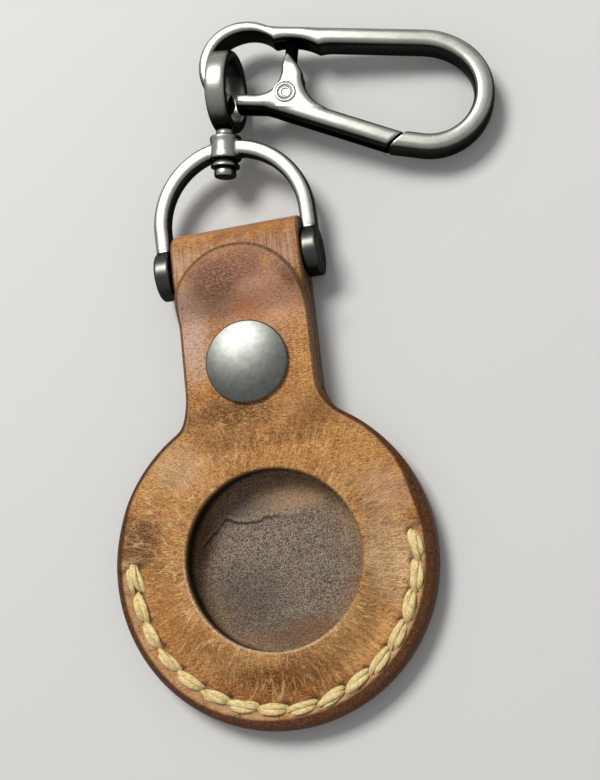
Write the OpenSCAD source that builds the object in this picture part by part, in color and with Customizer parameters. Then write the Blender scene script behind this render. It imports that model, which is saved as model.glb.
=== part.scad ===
// Leather holder for a round tracker tag, with a shackle, a swivel eye and a two-way carabiner.
// Origin: centre of the pouch's disc on its back face. +Y runs along the strap, +Z is up.

/* [Leather] */
// Thickness of the leather
leather_t = 2; // [1.6:0.1:2.4]
// Radius of the pouch's disc
disc_r = 24; // [22.5:0.5:27]
// Width of the strap and of the tab
strap_w = 20; // [16:0.5:24]
// Radius of the hollow where the neck meets the disc
neck_r = 6.5; // [4:0.5:9]
// Radius of the window in the front panel
window_r = 12.9; // [10:0.1:14]
// How far the window was cut to the side of the disc's centre
window_shift = 0.8; // [0:0.1:1.2]
// How far the moulded front panel stands off the back panel at the window
dome_lift = 3; // [2:0.1:5]
// Distance from the disc's centre to the tip of the tab
tab_end = 46.7; // [45.5:0.1:48]
// Distance from the disc's centre to the line on which the front flap bends
bend_y = 3; // [2.6:0.1:5]
// Rounding of the burnished edge of the disc
edge_r = 0.9; // [0.4:0.1:1.2]

/* [Stitching] */
// Distance of the line of stitches from the edge of the disc
stitch_in = 3; // [2.4:0.1:3.4]
// Number of stitches on the front
stitch_count = 16; // [12:1:20]
// Thickness of the thread inside its holes
thread_d = 1; // [0.8:0.1:1.2]
// Thickness of a stitch on the surface
stitch_d = 1.4; // [1:0.1:1.6]

/* [Snap] */
// Distance from the disc's centre to the snap
snap_y = 29.1; // [28.5:0.1:31]
// Diameter of the cap
cap_d = 12.5; // [10:0.1:15]
// Height of the domed cap
cap_h = 1.7; // [1.2:0.1:2.2]
// Diameter of the socket under the tab
socket_d = 8.8; // [8:0.1:9.6]
// Diameter of the stud's head
stud_d = 4; // [3.6:0.1:4.4]

/* [Shackle] */
// Distance from the disc's centre to the screw pin
pin_y = 45.1; // [44.5:0.1:47]
// Diameter of the screw pin
pin_d = 3.2; // [2.6:0.1:3.6]
// Width of the shackle's bar and of its ears
shackle_bar_w = 2.5; // [2:0.1:3]
// Thickness of the shackle's bar
shackle_bar_t = 3; // [2.4:0.1:3.6]
// Distance from the pin to the centre of the shackle's bow
bow_y = 6.7; // [5.5:0.1:8]
// Diameter of the barrel that carries the swivel
barrel_d = 5; // [4.6:0.1:6]
// Turn of the cast barrel and the swivel in the plane of the bow, in degrees
barrel_yaw = 8; // [6:0.5:9]
// Diameter of the swivel's shaft
shaft_d = 2.5; // [2:0.1:3]

/* [Swivel eye] */
// Outer radius of the eye
eye_r = 6.4; // [6.3:0.1:6.8]
// Thickness of the eye's ring between its hole and its outside
eye_wall = 1.75; // [1.6:0.05:1.8]
// Width of the eye's ring along its hole
eye_w = 3.3; // [2.8:0.1:3.4]
// Turn of the eye about its shaft, in degrees
eye_roll = 3; // [-10:1:10]

/* [Carabiner] */
// Thickness of the carabiner
car_t = 4.8; // [4:0.1:5]
// Width of the carabiner's bar
car_w = 3.1; // [2.6:0.1:3.2]
// Width of the bar round the small eye
hook_w = 2.3; // [2:0.1:2.4]
// Distance from the rivet to the middle of the spine
spine_y = 9.6; // [9.4:0.1:10]
// Radius of the loop's end, to the middle of the bar
loop_r = 8.3; // [8:0.1:8.6]
// Distance from the rivet to the centre of the loop's end
loop_x = 21.8; // [21:0.1:26]
// Radius of the small eye, to the middle of the bar
hook_r = 6.1; // [5.9:0.1:6.3]
// Slope of the gate against the spine, in degrees
gate_slope = 16; // [15:0.5:17]
// Diameter of the gate's rivet
rivet_d = 2.5; // [2:0.1:2.8]
// Turn of the carabiner from square to the strap, in degrees
car_yaw = 11.7; // [10:0.1:14]

/* [Hidden] */
$fn = 64;

// Clearances and the overrun of cuts
lie_gap = 0.05;
run_gap = 0.05;
set_gap = 0.1;
free_gap = 0.3;
over = 1;

// Leather: the layers, the fold round the pin and the rise of the tab
fold_slack = 0.35;
fold_in_r = pin_d / 2 + fold_slack;
fold_out_r = fold_in_r + leather_t;
fold_reach = 1.95;
fold_y = pin_y + fold_reach;
pin_z = fold_out_r;
front_z = leather_t + lie_gap;
return_len = 4.6;
return_end = snap_y - return_len;
return_rise = [1.6, 8.8];
tab_gap = 0.6;
tab_z = 2 * leather_t + tab_gap;
tab_top = 2 * fold_out_r + set_gap;
tab_rise = [cap_d / 2 + set_gap, 12.2];
neck_rise = 4;
foot_in = 1.6;
rim_out = 0.5;
window_in = 3.9;
stitch_r = disc_r - stitch_in;
dome_foot = stitch_r - foot_in;
dome_rim = window_r + rim_out;
dome_in = window_r - window_in;
neck_fillet_y = sqrt(pow(disc_r + neck_r, 2) - pow(strap_w / 2 + neck_r, 2));
neck_touch_share = disc_r / (disc_r + neck_r);
neck_touch = [(strap_w / 2 + neck_r) * neck_touch_share, neck_fillet_y * neck_touch_share];
dome_end = neck_touch[1];
bend_gap = 0.1;
bend_z = front_z + dome_lift + leather_t + lie_gap;

// Stitching: the holes run round the lower half, a little past the sides
bend_clear = 1.2;
stitch_half = 90 + asin((bend_y - bend_clear) / stitch_r);
stitch_step = 2 * stitch_half / stitch_count;
thread_hole_d = thread_d + 2 * run_gap;
groove_d = 1;
stitch_lean = 8;
stitch_gap = 0.3;
leg_top = 0.4;
back_stitch_d = groove_d - lie_gap;

// Snap: cap and socket on the tab, stud and post through the strap's two layers
cap_rim = 0.5;
snap_flange_t = 0.5;
cap_tube_d = 2.5;
socket_web = 0.45;
socket_top = tab_z + leather_t - 0.75;
socket_hole_d = stud_d + 2 * free_gap;
stud_flange_d = 8.4;
stud_top = socket_top - socket_web - 0.15;
post_head_d = 8.8;
post_d = stud_d - 1;

// Shackle, in its own frame: origin on the pin's axis, +Y towards the swivel
ear_d = 2 * pin_z - free_gap;
shackle_in_w = strap_w + 0.5;
shackle_shift = -0.2;
bow_r = (shackle_in_w + shackle_bar_w) / 2;
bar_edge = 0.6;
barrel_y = bow_y + bow_r;
barrel_in = barrel_y - shackle_bar_w / 2 - 0.45;
barrel_len = 3.75;
barrel_out = barrel_in + barrel_len;
slot_w = 0.7;
slot_t = 0.5;
shaft_neck_d = 4.2;
eye_y = barrel_out + eye_r + 0.7;
eye_edge = 0.8;
eye_place = [(eye_y - barrel_y) * sin(barrel_yaw), barrel_y + (eye_y - barrel_y) * cos(barrel_yaw)];
shackle_lift = asin((eye_r + lie_gap - pin_z) / eye_place[1]);
collar_len = 1.2;
collar_d = 4.6;
collar_neck_d = 3.4;
tip_len = 1.4;
tip_d = 3.5;

// Carabiner, in its own frame: origin at the rivet, +X along the spine towards the loop
car_edge = 0.9;
loop_y = spine_y - loop_r;
nose_slope = 4;
hook_c = [-7, 4.6];
hook_hole_c = [-6.3, 4.46];
hook_hole_r = 5.35;
hook_start = 48;
hook_stop = 254;
spine_start = -4.2;
scallop_r = 8.8;
tongue_t = 1.6;
tongue_w = 2.2;
tongue_r = 2.4;
slot_h = tongue_t + 2 * run_gap;
slot_r = 4.3;
nose_x = 17.6;
nose_y = loop_y - loop_r * cos(nose_slope) + (loop_x - loop_r * sin(nose_slope) - nose_x) * tan(nose_slope);
nose_cut = 43;
nose_gap = 0.2;
gate_drop = 0.1;
arm_top = -0.2;
arm_low = -2.55;
arm_end = -7.7;
arm_r = 0.6;
crook_c = [-4.9, 3.65];
crook_r = arm_top - crook_c[1];
finger_tip = [-0.4, 6.4];
finger_r = 0.4;
finger_side = [[0.95, 5.5], [1.75, 4.4], [2.25, 3.5]];
crotch_r = 6.1;
crotch_x = 6.75;
head_ring_d = 3.6;
head_ring_t = 0.15;
dimple_d = 1.5;
spring_wire = 0.6;
spring_r = tongue_r + spring_wire / 2 + set_gap;
spring_stop = 58;

// Where the carabiner hangs: its small eye's bar crosses the swivel eye's hole
hang_turn = 234.9;
hang_back = 1.4;
hang_drop = 0.5;
eye_world = [shackle_shift + eye_place[0], pin_y + eye_place[1] * cos(shackle_lift),
    pin_z + eye_place[1] * sin(shackle_lift)];
hang_local = hang_turn + car_yaw;
hang_span = loop_x + loop_r + car_w / 2 - hook_c[0] - hook_r * cos(hang_local);
car_tilt = asin((eye_world[2] - hang_drop - lie_gap - car_t / 2) / hang_span);
hook_y_world = eye_world[1] - hang_back * cos(barrel_yaw) - hook_r * sin(hang_turn);
hook_x_world = eye_world[0] - hang_back * sin(barrel_yaw) - hook_r * cos(hang_turn) * cos(car_tilt);
rivet_pos = [
    hook_x_world - hook_c[0] * cos(car_yaw) - hook_c[1] * sin(car_yaw),
    hook_y_world + hook_c[0] * sin(car_yaw) - hook_c[1] * cos(car_yaw),
    eye_world[2] - hang_drop + (hook_c[0] + hook_r * cos(hang_local)) * sin(car_tilt)];

// Places that the joints turn about
echo(bend = [0, bend_y, bend_z], pin = [0, pin_y, pin_z], lift = shackle_lift, eye = eye_world);
echo(rivet = rivet_pos, tilt = car_tilt, yaw = -car_yaw, hook = [hook_x_world, hook_y_world]);

// A smooth step from 0 to 1
function ease(u) = (1 - cos(180 * min(max(u, 0), 1))) / 2;

// A layer of leather seen from the side: points along its underside, then back along its top
function layer(points, t) = concat(points,
    [for (i = [len(points) - 1:-1:0]) points[i] + t * normal_at(points, i)]);
function normal_at(p, i) =
    let (d = p[min(i + 1, len(p) - 1)] - p[max(i - 1, 0)]) [-d[1], d[0]] / norm(d);

// Points of an arc from angle a to angle b
function arc(c, r, a, b, n = 12) = [for (i = [0:n]) c + r * [cos(a + (b - a) * i / n), sin(a + (b - a) * i / n)]];

module rounded_bar(w, t, r) {
    square([w - 2 * r, t], center = true);
    square([w, t - 2 * r], center = true);
    for (x = [-1, 1], y = [-1, 1])
        translate([x * (w / 2 - r), y * (t / 2 - r)])
            circle(r, $fn = 24);
}

// A bar that bends round a centre, from angle a over a turn
module bent_bar(r, w, t, edge, a, turn) {
    rotate([0, 0, a])
        rotate_extrude(angle = turn)
            translate([r, 0])
                rounded_bar(w, t, edge);
}

// A straight bar along +X from the origin
module straight_bar(length, w, t, edge) {
    rotate([90, 0, 90])
        linear_extrude(length)
            rounded_bar(w, t, edge);
}

// Plan of the neck: the chord between the hollows, less the two hollows
module neck_plan(top) {
    difference() {
        polygon([[-neck_touch[0], neck_touch[1]], [neck_touch[0], neck_touch[1]],
            [strap_w / 2, neck_fillet_y], [strap_w / 2, top],
            [-strap_w / 2, top], [-strap_w / 2, neck_fillet_y]]);
        for (x = [-1, 1])
            translate([x * (strap_w / 2 + neck_r), neck_fillet_y])
                circle(neck_r);
    }
}

// A layer's side view, in Y and Z, carried across the width w
module across(w) {
    rotate([90, 0, 90])
        translate([0, 0, -w / 2])
            linear_extrude(w)
                children();
}

module stitch_holes(bottom, height, d) {
    for (i = [0:stitch_count])
        rotate([0, 0, -90 - stitch_half + i * stitch_step])
            translate([stitch_r, 0, bottom])
                cylinder(h = height, d = d, $fn = 16);
}

module bore(d, bottom, top) {
    translate([0, snap_y, bottom])
        cylinder(h = top - bottom, d = d);
}

module back_panel() {
    fall = [for (i = [0:12]) let (u = i / 12)
        [pin_y - return_rise[0] + (return_rise[0] - return_rise[1]) * u,
            2 * fold_out_r - leather_t - (2 * fold_out_r - 2 * leather_t) * ease(u)]];
    path = concat([[fold_y, 2 * fold_out_r - leather_t]], fall, [[return_end, leather_t]]);
    color("sienna")
        difference() {
            union() {
                rotate_extrude()
                    polygon(concat([[0, leather_t], [0, 0]],
                        arc([disc_r - edge_r, edge_r], edge_r, -90, 0, 6), [[disc_r, leather_t]]));
                linear_extrude(leather_t)
                    neck_plan(fold_y);
                across(strap_w)
                    polygon([for (p = layer(path, -leather_t)) p]);
                translate([0, fold_y, fold_out_r])
                    rotate([90, 0, 90])
                        rotate([0, 0, -90])
                            translate([0, 0, -strap_w / 2])
                                difference() {
                                    rotate_extrude(angle = 180)
                                        square([fold_out_r, strap_w]);
                                    translate([0, 0, -over])
                                        cylinder(h = strap_w + 2 * over, r = fold_in_r);
                                }
            }
            stitch_holes(-over, leather_t + 2 * over, thread_hole_d);
            rotate([0, 0, -90 - stitch_half - stitch_lean / 2])
                rotate_extrude(angle = 2 * stitch_half + stitch_lean)
                    translate([stitch_r - groove_d, -over])
                        square([2 * groove_d, groove_d + over]);
            bore(post_d + 2 * set_gap, -over, 2 * leather_t + over);
            bore(post_head_d + 2 * set_gap, -over, snap_flange_t + 2 * lie_gap);
            bore(stud_flange_d + 2 * set_gap, 2 * leather_t - snap_flange_t - 2 * lie_gap, 2 * leather_t + over);
        }
}

// The moulded front: flat at the stitches, rising to the window
module dome() {
    wall = [for (i = [0:10]) let (u = i / 10)
        [dome_foot + (dome_rim - dome_foot) * u, front_z + dome_lift * ease(u)]];
    under = concat([[disc_r, front_z]], wall, [[dome_in, front_z + dome_lift]]);
    top = [for (i = [len(under) - 1:-1:1]) under[i] + [0, leather_t]];
    rim = arc([disc_r - edge_r, front_z + leather_t - edge_r], edge_r, 90, 0, 6);
    difference() {
        rotate_extrude()
            polygon(concat(under, top, rim));
        translate([window_shift, 0, 0])
            cylinder(h = bend_z + over, r = window_r);
    }
}

module half_space(low, high) {
    translate([-2 * disc_r, low, -over])
        cube([4 * disc_r, high - low, 4 * fold_out_r]);
}

module front_panel() {
    color("peru")
        difference() {
            intersection() {
                dome();
                half_space(-2 * disc_r, bend_y - bend_gap / 2);
            }
            stitch_holes(front_z - over, leather_t + 2 * over, thread_hole_d);
        }
}

// The upper half of the front leather: round the window, up the neck and over the strap's end
module front_flap() {
    neck = [for (i = [0:8]) let (u = i / 8)
        [dome_end + neck_rise * u, front_z + (tab_z - front_z) * ease(u)]];
    rise = [for (i = [0:12]) let (u = i / 12)
        [snap_y + tab_rise[0] + (tab_rise[1] - tab_rise[0]) * u, tab_z + (tab_top - tab_z) * ease(u)]];
    side = concat([[dome_end - lie_gap, front_z]], neck, rise, [[tab_end + over, tab_top]]);
    color("chocolate")
        difference() {
            union() {
                intersection() {
                    dome();
                    half_space(bend_y + bend_gap / 2, dome_end);
                }
                intersection() {
                    linear_extrude(4 * fold_out_r)
                        intersection() {
                            union() {
                                circle(disc_r);
                                neck_plan(tab_end - strap_w / 2);
                                translate([0, tab_end - strap_w / 2])
                                    circle(strap_w / 2);
                            }
                            translate([-disc_r, dome_end - lie_gap])
                                square([2 * disc_r, tab_end]);
                        }
                    across(2 * disc_r)
                        polygon(layer(side, leather_t));
                }
            }
            bore(cap_tube_d + 2 * set_gap, front_z, 4 * fold_out_r);
            bore(socket_d + 2 * set_gap, front_z, socket_top + lie_gap);
        }
}

// One waxed thread: a stitch between each pair of holes, on the front and in the back groove
module stitch_thread() {
    front = front_z + leather_t + lie_gap;
    chord = 2 * stitch_r * sin(stitch_step / 2) - stitch_gap;
    color("khaki")
        union() {
            for (i = [0:stitch_count - 1])
                rotate([0, 0, -90 - stitch_half + (i + 0.5) * stitch_step]) {
                    translate([stitch_r, 0, front])
                        rotate([90, 0, stitch_lean])
                            intersection() {
                                cylinder(h = chord, d = stitch_d, center = true, $fn = 24);
                                translate([-stitch_d, 0, -chord])
                                    cube([2 * stitch_d, stitch_d, 2 * chord]);
                            }
                    translate([stitch_r, 0, groove_d / 2 + lie_gap / 2])
                        rotate([90, 0, 0])
                            cylinder(h = chord, d = back_stitch_d, center = true, $fn = 24);
                }
            stitch_holes(groove_d / 2, front - groove_d / 2 + leg_top, thread_d);
        }
}

module snap_cap() {
    rise = cap_h - cap_rim;
    dome = (pow(cap_d / 2, 2) + pow(rise, 2)) / (2 * rise);
    half = asin(cap_d / 2 / dome);
    base = tab_z + leather_t + lie_gap;
    color("slategray")
        union() {
            translate([0, snap_y, base])
                rotate_extrude()
                    polygon(concat([[0, 0], [cap_d / 2, 0]],
                        arc([0, cap_h - dome], dome, 90 - half, 90, 12)));
            bore(cap_tube_d, socket_top - socket_web / 2, base + over / 2);
        }
}

module snap_socket() {
    bottom = 2 * leather_t + 2 * lie_gap;
    color("dimgray")
        difference() {
            bore(socket_d, bottom, socket_top);
            bore(socket_hole_d, bottom - over, socket_top - socket_web);
            bore(cap_tube_d + 2 * lie_gap, bottom, socket_top + over);
        }
}

module snap_stud() {
    base = 2 * leather_t - snap_flange_t - lie_gap;
    color("dimgray")
        difference() {
            union() {
                bore(stud_flange_d, base, 2 * leather_t - lie_gap);
                bore(stud_d, base, stud_top);
            }
            bore(post_d + 2 * lie_gap, base - over, stud_top + over);
        }
}

module snap_post() {
    color("gray")
        union() {
            bore(post_head_d, lie_gap, snap_flange_t + lie_gap);
            bore(post_d, lie_gap, stud_top - lie_gap);
        }
}

// From the shackle's own frame to its place: lifted until the swivel eye stands on the table
module at_shackle() {
    translate([shackle_shift, pin_y, pin_z])
        rotate([shackle_lift, 0, 0])
            children();
}

// From the swivel's own frame to its place: turned with the barrel
module at_swivel() {
    at_shackle()
        translate([0, barrel_y, 0])
            rotate([0, 0, -barrel_yaw])
                rotate([0, -eye_roll, 0])
                    translate([0, -barrel_y, 0])
                        children();
}

module shackle_body() {
    ear_x = shackle_in_w / 2;
    color("silver")
        difference() {
            union() {
                at_shackle() {
                    translate([0, bow_y, 0])
                        bent_bar(bow_r, shackle_bar_w, shackle_bar_t, bar_edge, 0, 180);
                    for (x = [-1, 1]) {
                        translate([x * bow_r, 0, 0])
                            rotate([0, 0, 90])
                                straight_bar(bow_y, shackle_bar_w, shackle_bar_t, bar_edge);
                        translate([x * bow_r, 0, 0])
                            rotate([0, 90, 0])
                                cylinder(h = shackle_bar_w, d = ear_d, center = true);
                    }
                }
                at_swivel()
                    translate([0, barrel_in, 0])
                        rotate([-90, 0, 0])
                            cylinder(h = barrel_len, d = barrel_d);
            }
            at_shackle()
                rotate([0, 90, 0])
                    cylinder(h = 2 * (ear_x + shackle_bar_w + over), d = pin_d + 2 * run_gap, center = true);
            at_swivel()
                translate([0, barrel_in - over, 0])
                    rotate([-90, 0, 0])
                        cylinder(h = barrel_len + 2 * over, d = shaft_d + 2 * run_gap);
        }
}

// Screwed through both ears, with a slot for a coin or a screwdriver in one end
module shackle_pin() {
    outside = shackle_in_w / 2 + shackle_bar_w;
    color("darkgray")
        at_shackle()
            difference() {
                translate([-outside, 0, 0])
                    rotate([0, 90, 0])
                        cylinder(h = 2 * outside, d = pin_d);
                translate([outside - slot_t, -pin_d, -slot_w / 2])
                    cube([over, 2 * pin_d, slot_w]);
            }
}

// Ring, neck, shaft and the upset end of the shaft in one piece
module swivel_eye() {
    tip_y = barrel_in - 2 * lie_gap - collar_len;
    color("gray")
        at_swivel()
            union() {
                translate([0, eye_y, 0])
                    rotate([0, 90, 0])
                        rotate_extrude()
                            translate([eye_r - eye_wall / 2, 0])
                                rounded_bar(eye_wall, eye_w, eye_edge);
                translate([0, barrel_out + run_gap, 0])
                    rotate([-90, 0, 0])
                        cylinder(h = eye_y - eye_r + eye_wall / 2 - barrel_out - run_gap, d = shaft_neck_d);
                translate([0, tip_y, 0])
                    rotate([-90, 0, 0])
                        cylinder(h = barrel_out - tip_y + over / 2, d = shaft_d);
                translate([0, tip_y - tip_len, 0])
                    rotate([-90, 0, 0])
                        cylinder(h = tip_len, d = tip_d);
            }
}

module swivel_collar() {
    color("lightgray")
        at_swivel()
            translate([0, barrel_in - lie_gap - collar_len, 0])
                rotate([-90, 0, 0])
                    difference() {
                        union() {
                            cylinder(h = collar_len / 3, d = collar_d);
                            translate([0, 0, collar_len / 3])
                                cylinder(h = 2 * collar_len / 3, d1 = collar_d, d2 = collar_neck_d);
                        }
                        translate([0, 0, -over])
                            cylinder(h = collar_len + 2 * over, d = shaft_d + 2 * run_gap);
                    }
}

// From the carabiner's own frame to its place
module at_carabiner() {
    translate(rivet_pos)
        rotate([0, car_tilt, -car_yaw])
            children();
}

// The cut between the nose and the gate, as a slab that leans across the bar
module nose_slab(side) {
    reach = 2 * loop_r;
    translate([nose_x, nose_y, 0])
        rotate([0, 0, nose_cut])
            translate([-reach, (side - 1) * reach / 2 - side * nose_gap / 2, -car_t])
                cube([2 * reach, reach, 2 * car_t]);
}

module carabiner_frame() {
    color("silver")
        at_carabiner()
            difference() {
                union() {
                    difference() {
                        union() {
                            translate([spine_start, spine_y, 0])
                                straight_bar(loop_x - spine_start, car_w, car_t, car_edge);
                            translate([hook_c[0], hook_c[1], 0])
                                bent_bar(hook_r, hook_w, car_t, car_edge, hook_start, hook_stop - hook_start);
                        }
                        translate([hook_hole_c[0], hook_hole_c[1], -car_t])
                            cylinder(h = 2 * car_t, r = hook_hole_r);
                        translate([0, 0, -car_t])
                            cylinder(h = 2 * car_t, r = scallop_r);
                    }
                    translate([loop_x, loop_y, 0])
                        bent_bar(loop_r, car_w, car_t, car_edge, -90 - nose_slope, 180 + nose_slope);
                    difference() {
                        translate([loop_x, loop_y, 0])
                            rotate([0, 0, 180 - nose_slope])
                                translate([0, loop_r, 0])
                                    straight_bar(loop_r, car_w, car_t, car_edge);
                        nose_slab(1);
                    }
                    translate([-tongue_w / 2, 0, -tongue_t / 2])
                        cube([tongue_w, spine_y, tongue_t]);
                    cylinder(h = tongue_t, r = tongue_r, center = true);
                }
                cylinder(h = car_t, d = rivet_d + 2 * run_gap, center = true);
            }
}

// Height of the long arm's middle line over the rivet at x
function gate_line(x) = nose_y - gate_drop + (nose_x - x) * tan(gate_slope);

// Plan of the gate's hub, finger and roots of its two arms
module hub_plan() {
    side = car_w / 2 / cos(gate_slope);
    meet = nose_x - (arm_low + side - nose_y + gate_drop) / tan(gate_slope);
    crotch_c = [crotch_x + crotch_r * sin(gate_slope), gate_line(crotch_x) + side + crotch_r * cos(gate_slope)];
    polygon(concat(
        arc([arm_end + arm_r, arm_low + arm_r], arm_r, 180, 270, 4),
        [[meet, arm_low], [crotch_x, gate_line(crotch_x) - side]],
        arc(crotch_c, crotch_r, -90 - gate_slope, -180, 16),
        [for (i = [len(finger_side) - 1:-1:0]) finger_side[i]],
        arc(finger_tip, finger_r, 40, 160, 4),
        arc(crook_c, abs(crook_r), 15, -90, 12),
        arc([arm_end + arm_r, arm_top - arm_r], arm_r, 90, 180, 4)));
}

module carabiner_gate() {
    arm_len = 2 * loop_r;
    color("silver")
        at_carabiner()
            difference() {
                union() {
                    difference() {
                        translate([crotch_x - arm_r, gate_line(crotch_x - arm_r), 0])
                            rotate([0, 0, -gate_slope])
                                straight_bar(arm_len, car_w, car_t, car_edge);
                        nose_slab(-1);
                    }
                    linear_extrude(car_t, center = true)
                        hub_plan();
                }
                cylinder(h = slot_h, r = slot_r, center = true);
                translate([-slot_r, 0, -slot_h / 2])
                    cube([2 * slot_r, spine_y, slot_h]);
                cylinder(h = 2 * car_t, d = rivet_d + 2 * lie_gap, center = true);
                for (z = [-1, 1])
                    translate([0, 0, z * car_t / 2])
                        cylinder(h = 2 * head_ring_t, d = head_ring_d, center = true);
            }
}

module gate_rivet() {
    color("gainsboro")
        at_carabiner()
            difference() {
                cylinder(h = car_t, d = rivet_d, center = true);
                for (z = [-1, 1])
                    translate([0, 0, z * car_t / 2])
                        cylinder(h = 2 * head_ring_t, d = dimple_d, center = true);
            }
}

// Bent wire inside the slot: from the tongue's flank round the rivet and out to the long arm
module gate_spring() {
    color("gold")
        at_carabiner()
            union() {
                rotate([0, 0, -gate_slope])
                    rotate_extrude(angle = spring_stop + gate_slope)
                        translate([spring_r, 0])
                            circle(d = spring_wire, $fn = 24);
                rotate([0, 0, -gate_slope])
                    translate([spring_r, 0, 0]) {
                        sphere(d = spring_wire, $fn = 24);
                        rotate([0, 90, 0])
                            cylinder(h = slot_r - spring_r - lie_gap, d = spring_wire, $fn = 24);
                    }
            }
}

back_panel();
front_panel();
front_flap();
stitch_thread();
snap_cap();
snap_socket();
snap_stud();
snap_post();
shackle_body();
shackle_pin();
swivel_eye();
swivel_collar();
carabiner_frame();
carabiner_gate();
gate_rivet();
gate_spring();
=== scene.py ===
import bpy
import bmesh
import numpy as np
from mathutils import Matrix


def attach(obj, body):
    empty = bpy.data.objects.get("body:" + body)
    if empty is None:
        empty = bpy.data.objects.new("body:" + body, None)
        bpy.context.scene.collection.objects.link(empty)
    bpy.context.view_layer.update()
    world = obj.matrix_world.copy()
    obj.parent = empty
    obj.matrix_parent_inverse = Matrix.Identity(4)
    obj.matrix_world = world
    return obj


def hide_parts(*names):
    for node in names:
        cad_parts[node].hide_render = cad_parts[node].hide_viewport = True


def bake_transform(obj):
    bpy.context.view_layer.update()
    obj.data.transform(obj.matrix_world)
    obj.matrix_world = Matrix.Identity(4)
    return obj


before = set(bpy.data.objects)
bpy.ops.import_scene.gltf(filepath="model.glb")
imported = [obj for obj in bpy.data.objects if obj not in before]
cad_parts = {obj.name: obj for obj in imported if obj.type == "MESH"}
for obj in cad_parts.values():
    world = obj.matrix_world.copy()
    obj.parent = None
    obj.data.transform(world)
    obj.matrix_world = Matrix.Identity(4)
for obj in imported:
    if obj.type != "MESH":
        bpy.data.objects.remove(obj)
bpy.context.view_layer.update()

# ---------------------------------------------------------------- sizes of the real thing
MM = 0.001
LEATHER = 2.0
DISC_R = 23.98
RIM_EDGE = 0.32
HALF_STRAP = 10.0
HOLLOW_R = 6.5
HOLLOW_X = HALF_STRAP + HOLLOW_R
HOLLOW_Y = np.sqrt((DISC_R + HOLLOW_R) ** 2 - HOLLOW_X**2)
WINDOW = np.array([0.8, 0.0])
WINDOW_R = 12.9
TAB_TIP = 46.7
TAB_MID = TAB_TIP - HALF_STRAP
FRONT_Z = 2.05
DOME_RISE = 3.0
DOME_FOOT, DOME_RIM = 19.4, 13.4
NECK_Z, TAB_Z = 4.6, 8.0
SOCKET_HOLLOW, SOCKET_HOLLOW_R = 1.32, 4.75
BACK_GROOVE = 0.95
STITCH_R = 21.0
STITCHES = 16
# Half of the stitches' sweep, and the sweep of one stitch, in degrees.
STITCH_HALF = 94.92
STITCH_STEP = 2 * STITCH_HALF / STITCHES
DEGREES_PER_RADIAN = 57.3
SNAP_Y = 29.1
PIN_Y, PIN_Z = 45.1, 3.95
FOLD_IN, FOLD_Y = 1.95, 47.05
RETURN_END = 24.5

SHIFT, LIFT = -0.2, np.radians(5.262)
BARREL_Y, BARREL_YAW, EYE_ROLL = 18.2, np.radians(8.0), np.radians(3.0)
RIVET = np.array([10.295, 69.927, 5.147])
CAR_TILT, CAR_YAW = np.radians(4.888), np.radians(11.7)
rng = np.random.default_rng(7)


# ---------------------------------------------------------------- small helpers
def ease(u):
    """Smooth step: half of one minus the cosine of pi times u, held between 0 and 1."""
    return (1 - np.cos(np.pi * np.clip(u, 0, 1))) / 2


def bump_at(x, width):
    """Bell curve: e to the minus of x over width, squared."""
    return np.exp(-((x / width) ** 2))


def smooth_max(a, b, soft):
    """The larger of two values, rounded where they cross over the length soft."""
    return (a + b + np.sqrt((a - b) ** 2 + soft**2)) / 2


def turn(axis, angle):
    """3 x 3 matrix that turns by an angle about the x, y or z axis."""
    c, s = np.cos(angle), np.sin(angle)
    i, j = {"x": (1, 2), "y": (2, 0), "z": (0, 1)}[axis]
    m = np.eye(3)
    m[i, i] = m[j, j] = c
    m[i, j], m[j, i] = -s, s
    return m


def rows_of_faces(rows, cols, wrap_rows=False, wrap_cols=True):
    """Four-sided faces between neighbours of a grid: corner numbers as whole arrays."""
    i = np.arange(rows if wrap_rows else rows - 1)[:, None]
    j = np.arange(cols if wrap_cols else cols - 1)[None, :]
    i2, j2 = (i + 1) % rows, (j + 1) % cols
    quads = np.stack([i * cols + j, i2 * cols + j, i2 * cols + j2, i * cols + j2], -1)
    return quads.reshape(-1, 4)


def skin(points, wrap_rows=False, wrap_cols=True):
    """A grid of points (rows, cols, 3) as one shell: its points and its faces."""
    rows, cols = points.shape[:2]
    return points.reshape(-1, 3), rows_of_faces(rows, cols, wrap_rows, wrap_cols)


def closed(points):
    """A grid of rings with both ends drawn in to their middle, so that the shell is closed."""
    first = np.broadcast_to(points[:1].mean(1, keepdims=True), points[:1].shape)
    last = np.broadcast_to(points[-1:].mean(1, keepdims=True), points[-1:].shape)
    return np.concatenate([first, points, last])


def together(*shells):
    """Several shells in one mesh: points one after the other, face numbers moved along."""
    points, faces, n = [], [], 0
    for p, f in shells:
        points.append(p)
        faces.append(f + n)
        n += len(p)
    return np.concatenate(points), np.concatenate(faces)


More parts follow.
